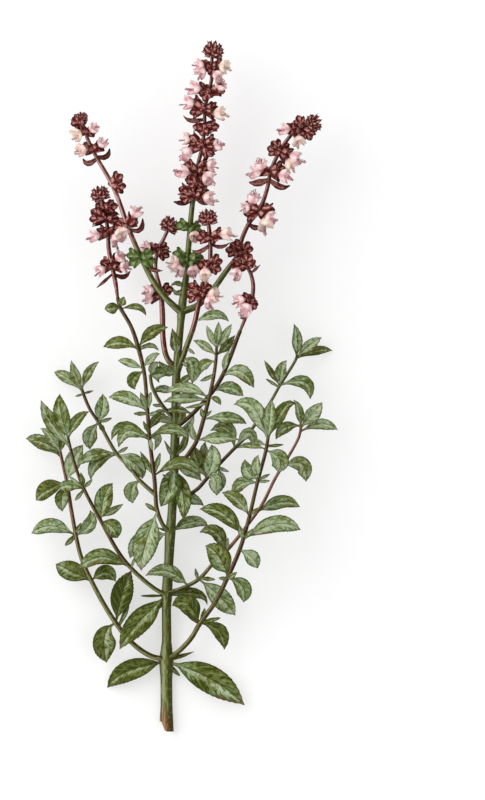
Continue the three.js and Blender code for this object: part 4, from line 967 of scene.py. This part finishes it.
def crown(line, x, y, z, radius):
    """The closed calyces at a spike's top: they fan out from the stem's end over a round knob, and shorter
    ones fill its middle."""
    centre, root = place(x, y, z), place(*line[-1][:3])
    forward = (centre - root).normalized()
    across = forward.cross((0, 0, 1)).normalized()
    out = across.cross(forward)
    golden = math.pi * (3 - math.sqrt(5))
    buds = []
    for i in range(CROWN_BUDS):
        lift = 1 - CROWN_DEPTH * (i + 0.5) / CROWN_BUDS
        ring = math.sqrt(1 - lift * lift)
        heading = forward * lift + (out * ring * math.cos(i * golden)
                                    + across * ring * math.sin(i * golden))
        start = root.lerp(centre, random.uniform(*BUD_FROM))
        reach = centre + heading * radius * random.uniform(*BUD_REACH) / 1000 - start
        if i % 4 == 1:
            reach *= SHORT_BUD
        bud = copy_of(PATTERNS["bud"])
        wide = radius * random.uniform(*BUD_WIDTH) / 1000
        bud.matrix_world = turned(start, reach, forward, (wide, wide, reach.length))
        paint(bud, tone=random.random())
        buds.append(bud)
    return buds


# ---- finishes -----------------------------------------------------------------------------------------
class Value:
    """A socket in shader maths: an expression on values adds its Math nodes."""

    def __init__(self, finish, socket):
        self.finish, self.socket = finish, socket

    def maths(self, operation, *terms):
        return self.finish.node("Math", {"operation": operation}, *terms)

    def __add__(self, other):
        return self.maths("ADD", self, other)

    def __sub__(self, other):
        return self.maths("SUBTRACT", self, other)

    def __rsub__(self, other):
        return self.maths("SUBTRACT", other, self)

    def __mul__(self, other):
        return self.maths("MULTIPLY", self, other)

    def __pow__(self, other):
        return self.maths("POWER", self, other)

    def __abs__(self):
        return self.maths("ABSOLUTE", self)

    def part(self):
        return self.maths("FRACT", self)

    def cosine(self):
        return self.maths("COSINE", self)


def chart_colour(red, green, blue):
    """A colour given as the eight-bit numbers of a colour chart, in linear light."""
    return tuple((number / 255 / 12.92) if number <= 10 else ((number / 255 + 0.055) / 1.055) ** 2.4
                 for number in (red, green, blue))


class Finish:
    """A material built node by node round one Principled shader."""

    def __init__(self, name, **constants):
        self.material = bpy.data.materials.new(name)
        self.material.use_nodes = True
        self.tree = self.material.node_tree
        self.shader = self.tree.nodes["Principled BSDF"]
        for socket, number in constants.items():
            label = socket.replace("_", " ").title().replace("Ior", "IOR")
            self.shader.inputs[label].default_value = number

    def node(self, kind, settings, *terms, output=0, **named):
        node = self.tree.nodes.new("ShaderNode" + kind)
        for name, setting in settings.items():
            setattr(node, name, setting)
        for socket, term in [*enumerate(terms), *named.items()]:
            target = node.inputs[socket if isinstance(socket, int) else socket.replace("_", " ")]
            if isinstance(term, Value):
                self.tree.links.new(term.socket, target)
            else:
                target.default_value = term
        return Value(self, node.outputs[output])

    def attribute(self, name, output="Fac"):
        return self.node("Attribute", {"attribute_name": name}, output=output)

    def axes(self, vector):
        split = self.node("SeparateXYZ", {}, vector).socket.node
        return [Value(self, socket) for socket in split.outputs]

    def here(self):
        return self.node("TexCoord", {}, output="Object")

    def noise(self, where, scale, detail=2.0):
        return self.node("TexNoise", {}, Vector=where, Scale=scale, Detail=detail)

    def between(self, value, low, high):
        """0 where a value is at `low`, 1 where it is at `high`, and smooth between them."""
        return self.node("MapRange", {"interpolation_type": "SMOOTHSTEP"}, value, low, high)

    def mix(self, share, first, second):
        """Two colours, each a Value or the numbers of a colour chart, mixed by a share."""
        node = self.tree.nodes.new("ShaderNodeMix")
        node.data_type = "RGBA"
        self.tree.links.new(share.socket, node.inputs[0])
        for socket, colour in ((6, first), (7, second)):
            if isinstance(colour, Value):
                self.tree.links.new(colour.socket, node.inputs[socket])
            else:
                node.inputs[socket].default_value = (*chart_colour(*colour), 1)
        return Value(self, node.outputs[2])

    def finish(self, colour, height, depth, strength=0.6):
        """Links the colour and the height, whose bump is `depth` metres deep, and gives the material."""
        self.tree.links.new(colour.socket, self.shader.inputs["Base Color"])
        bump = self.node("Bump", {}, Strength=strength, Distance=depth, Height=height)
        self.tree.links.new(bump.socket, self.shader.inputs["Normal"])
        return self.material


def leaf_finish(name, dark, mid, light, cool, rim, veins=7.0):
    """A blade: a thin dark midrib with a painted highlight, a paler band, on its lower side; side veins
    that curve to the tip, strokes of lighter and darker green that follow them, cooler patches, and margins
    brown in places."""
    leaf = Finish(name, roughness=0.7, specular_ior_level=0.15)
    along, across, _ = leaf.axes(leaf.node("UVMap", {"uv_map": "UVMap"}))
    beside = (across - 0.5) * 2 * leaf.attribute("belly")
    out = abs(beside)
    tone = leaf.attribute("tone")
    wander = leaf.noise(leaf.here(), 110.0, 3.0)
    bow = along * veins - (out ** 0.75) * 1.7 + wander * 0.6
    wave = abs(bow.part() - 0.5) * 2
    vein = leaf.between(wave, 0.76, 0.97) * leaf.between(out, 0.98, 0.5)
    strokes = leaf.noise(leaf.node("CombineXYZ", {}, bow * 1.4, out * 0.9, tone * 9), 2.4, 4.0)
    patch = leaf.noise(leaf.here(), 75.0)
    grain = leaf.noise(leaf.here(), 430.0)
    # Painted highlight: a pale band beside the midrib on the half lower in the plan.
    painted_highlight_band = leaf.between(beside, 0.02, 0.14) * leaf.between(beside, 0.6, 0.3)
    shade = tone * 0.4 + (patch - 0.5) * 1.1 + (strokes - 0.5) * 2.1 + (grain - 0.5) * 1.3
    shade = shade + painted_highlight_band * 0.34 + 0.31
    warm = leaf.mix(leaf.between(patch + tone * 0.2, 0.52, 0.66), mid, cool)
    body = leaf.mix(leaf.between(shade, 0.05, 0.45), dark, warm)
    body = leaf.mix(leaf.between(shade, 0.5, 0.85), body, light)
    body = leaf.mix(vein * 0.22, body, light)
    body = leaf.mix(leaf.between(strokes + (grain - 0.5) * 0.4, 0.55, 0.64) * 0.5, body, dark)
    edge = leaf.between(out + (patch - 0.5) * 0.25, 0.74, 0.98)
    body = leaf.mix(edge * 0.8, body, dark)
    body = leaf.mix(edge * leaf.between(wander, 0.5, 0.62) * 0.8, body, rim)
    body = leaf.mix(leaf.between(along + (patch - 0.5) * 0.3, 0.84, 1.02) * 0.5, body, rim)
    body = leaf.mix(leaf.between(out + (wander - 0.5) * 0.05, 0.075, 0.02) * 0.75, body, dark)
    height = leaf.between(out, 0.03, 0.2) * 0.5 - vein * 0.45 + (1 - wave ** 2) * 0.35 + strokes * 0.2
    return leaf.finish(body, height, 0.0006)


@functools.cache
def stem_finish(lower, upper, change, span, half=-0.04):
    """A square stem: a painted highlight runs up the pale ridge left of its top and painted shade down its
    right face, with long fine streaks, and the colours change over `span` millimetres at `change` in the
    plan. Stems of one look share it."""
    stem = Finish("stem", roughness=0.65, specular_ior_level=0.2)
    along, turn, _ = stem.axes(stem.node("UVMap", {"uv_map": "UVMap"}))
    here = stem.here()
    _, height, _ = stem.axes(here)
    side = ((turn - SHADED_SIDE) * math.tau).cosine()
    streak = stem.noise(stem.node("CombineXYZ", {}, turn * 5, along * 9, 0.0), 2.6, 3.0)
    fine = stem.noise(here, 500.0, 3.0)
    cloud = stem.noise(here, 130.0, 3.0)
    at, reach = (change - REST_POINT[1]) / 1000, span / 2000
    ripe = stem.between(height + (cloud - 0.5) * 0.012, at - reach, at + reach)
    body, pale, dark = (stem.mix(ripe, first, second) for first, second in zip(lower, upper))
    lean = side + (streak - 0.5) * 0.5
    # Painted highlight: a pale band up the left of the top, stopping short of the left edge.
    painted_highlight = stem.between(lean, half, half - 0.4) * stem.between(lean, -0.98, -0.75)
    colour = stem.mix(painted_highlight * 0.85, body, pale)
    # Painted shade: the right side of the stem darkened.
    colour = stem.mix(stem.between(lean, half, half + 0.4) * 0.92, colour, dark)
    colour = stem.mix(stem.between(side, -0.86, -1.0) * 0.7, colour, dark)
    colour = stem.mix(stem.between(streak, 0.5, 0.62) * 0.55, colour, dark)
    # Pale streaks, kept off the right side that carries the painted shade.
    colour = stem.mix(stem.between(streak, 0.46, 0.36) * stem.between(side, 0.6, 0.1) * 0.6, colour, pale)
    colour = stem.mix(stem.between(fine, 0.5, 0.75) * 0.3, colour, pale)
    return stem.finish(colour, fine * 0.5 + streak * 0.5, 0.0003, strength=0.5)


def petal_finish(name, root, middle, rim, streak, nerves=0.0, amount=0.8, tint=None):
    """A calyx, bud or flower: coloured from its root to its rim, with pale patches that run up between its
    nerves. A tint covers the pieces with a high tone, and spots of the others."""
    petal = Finish(name, roughness=0.75, specular_ior_level=0.1)
    x, y, up = petal.axes(petal.attribute("own", "Vector"))
    tone = petal.attribute("tone")
    turn = y.maths("ARCTAN2", y, x)
    moved = petal.node("CombineXYZ", {}, x + tone * 7, y + tone * 3, up * 0.3)
    streaks = petal.noise(moved, 13.0, 3.0)
    grain = petal.noise(petal.here(), 700.0, 3.0)
    ribs = (turn * nerves + tone * 2).cosine() * 0.5 + 0.5
    patches = streaks * 0.75 + ribs * 0.25 if nerves else streaks
    body = petal.mix(petal.between(up, 0.05, 0.4), root, middle)
    pale = petal.between(patches + grain * 0.1, 0.57, 0.66) * petal.between(up, 0.2, 0.4)
    body = petal.mix(pale * petal.between(up, 1.0, 0.72) * amount, body, streak)
    body = petal.mix(petal.between(up + (grain - 0.5) * 0.2, 0.76, 0.95), body, rim)
    if nerves:
        body = petal.mix(petal.between(ribs, 0.25, 0.04) * 0.55, body, rim)
    body = petal.mix(petal.between(grain, 0.5, 0.8) * 0.25, body, root)
    if tint:
        body = petal.mix(petal.between(tone + (streaks - 0.5) * 1.4, 0.74, 0.96) * 0.55, body, tint)
    return petal.finish(body, streaks * 0.5 + ribs * 0.3 + grain * 0.3, 0.0003)


LEAF_TOP = leaf_finish("leaf", (52, 64, 0), (104, 110, 46), (178, 190, 154), (98, 120, 68), (108, 70, 44))
LEAF_BACK = leaf_finish("leaf_underside", (84, 94, 40), (126, 138, 90), (178, 190, 158), (118, 142, 96),
                        (116, 84, 60))
BRACT_TOP = leaf_finish("bract", (48, 10, 4), (92, 28, 22), (176, 118, 110), (80, 20, 16), (34, 26, 12),
                        veins=5.0)
CALYX = petal_finish("calyx", (70, 14, 4), (116, 40, 33), (46, 5, 0), (232, 184, 176),
                     nerves=4.0, amount=0.7)
CALYX_GREEN = petal_finish("calyx_green", (112, 128, 70), (96, 114, 54), (54, 62, 12), (160, 182, 136),
                           nerves=3.0)
COROLLA = petal_finish("corolla", (204, 146, 150), (236, 196, 198), (206, 142, 150), (254, 242, 236),
                       nerves=4.0, amount=0.9, tint=(238, 228, 198))
BUD = petal_finish("bud", (72, 16, 10), (106, 30, 24), (34, 14, 4), (230, 184, 176), nerves=3.0)
PITH = petal_finish("pith", (196, 190, 150), (186, 176, 132), (150, 130, 90), (140, 116, 74))


# ---- the pieces ---------------------------------------------------------------------------------------
random.seed(11)
bpy.context.scene.tool_settings.use_proportional_edit = False
WAVES = bpy.data.textures.new("waves", "CLOUDS")
WAVES.noise_scale = WAVE_LENGTH / 1000

PATTERNS = {
    "leaf": [(NARROW_FROM, blade("slim_leaf", 8, 4, SLIM, 0.5, 0, 0, LEAF_TOP, LEAF_BACK)),
             (BROAD_FROM, blade("narrow_leaf", 18, 6, NARROW, 0.62, 0.5, 0.02, LEAF_TOP, LEAF_BACK)),
             (math.inf, blade("broad_leaf", 30, 8, BROAD, 0.6, 0.62, 0.03, LEAF_TOP, LEAF_BACK))],
    "bract": [(math.inf, blade("bract", 10, 6, CANOE, 1.1, 0.6, 0, BRACT_TOP, BRACT_TOP))],
    "calyx": calyx_pattern(), "corolla": corolla_pattern(), "bud": bud_pattern(),
}
SECTION = stem_section()


def dress(piece, node):
    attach(piece, "root")
    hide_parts(node)


def coloured(pieces, name, material):
    whole = join(pieces, name)
    whole.data.materials.append(material)
    return whole


dress(torn(stem_along("main_stem", MAIN_LINE + RUN_ON["main_stem"])), "main_stem")
dress(leaves_on("main_stem_leaves", MAIN_LINE, MAIN_LEAVES), "main_stem")

for name, plan in BRANCHES.items():
    dress(stem_along(name, plan["line"] + RUN_ON.get(name, [])), name)
    dress(leaves_on(name + "_leaves", plan["line"], plan["leaves"]), name)

for name, plan in SPIKES.items():
    line, head = plan["line"], plan["head"]
    root = ROOT_INSIDE if name in GOING_ON else ROOT_SWELL
    dress(stem_along(name, line + [[*head[:3], STEM_TIP]], root), name)
    leaves = [row for row in plan["bracts"] if row[1] < LEAVES_BELOW]
    bracts = [row for row in plan["bracts"] if row[1] >= LEAVES_BELOW]
    if leaves:
        dress(leaves_on(name + "_leaves", line, leaves), name)
    dress(leaves_on(name + "_bracts", line, bracts, "bract"), name)
    calyces, corollas = flower_parts(name, line, plan["whorls"])
    dress(join(calyces, name + "_calyces"), name)
    dress(coloured(corollas, name + "_corollas", COROLLA), name)
    dress(coloured(crown(line, *head), name + "_crown", BUD), name)

for pattern in [piece for look in ("leaf", "bract") for _, piece in PATTERNS[look]] + [
        PATTERNS["calyx"], PATTERNS["corolla"], PATTERNS["bud"], SECTION]:
    bpy.data.objects.remove(pattern)

# ---- floor, light and camera --------------------------------------------------------------------------
deselect()
bpy.ops.mesh.primitive_plane_add(size=20, location=(0, 0, FLOOR_Z))
floor = bpy.context.object
floor.name = "floor"
pale = Finish("floor", roughness=0.9, emission_strength=0.46)
pale.shader.inputs["Base Color"].default_value = (0.5, 0.5, 0.5, 1)
pale.shader.inputs["Emission Color"].default_value = (1, 1, 1, 1)
floor.data.materials.append(pale.material)

world = bpy.data.worlds.new("studio")
bpy.context.scene.world = world
bpy.context.scene.view_settings.view_transform = "Standard"
world.use_nodes = True
world.node_tree.nodes["Background"].inputs["Color"].default_value = (1, 1, 1, 1)
world.node_tree.nodes["Background"].inputs["Strength"].default_value = 0.8


def lamp(name, spot, size, power):
    """A round soft light, turned to the middle of the plant."""
    data = bpy.data.lights.new(name, "AREA")
    data.shape, data.size, data.energy = "DISK", size, power
    light = bpy.data.objects.new(name, data)
    light.location = spot
    light.rotation_euler = (Vector((0, 0.17, 0)) - Vector(spot)).to_track_quat("-Z", "Y").to_euler()
    bpy.context.collection.objects.link(light)


lamp("key", (-1.1, 0.75, 1.3), 1.8, 17)
lamp("fill", (1.2, -0.4, 1.6), 1.6, 4)

VIEW_MIDDLE = (0.0418, 0.16815, 0.03)
VIEW_HEIGHT = 0.44                # what the camera sees from top to bottom
LENS, SENSOR = 800, 36
camera = bpy.data.cameras.new("camera")
camera.lens, camera.sensor_width, camera.sensor_fit = LENS, SENSOR, "AUTO"
eye = bpy.data.objects.new("camera", camera)
eye.location = (*VIEW_MIDDLE[:2], VIEW_MIDDLE[2] + VIEW_HEIGHT * LENS / SENSOR)
bpy.context.collection.objects.link(eye)
bpy.context.scene.camera = eye
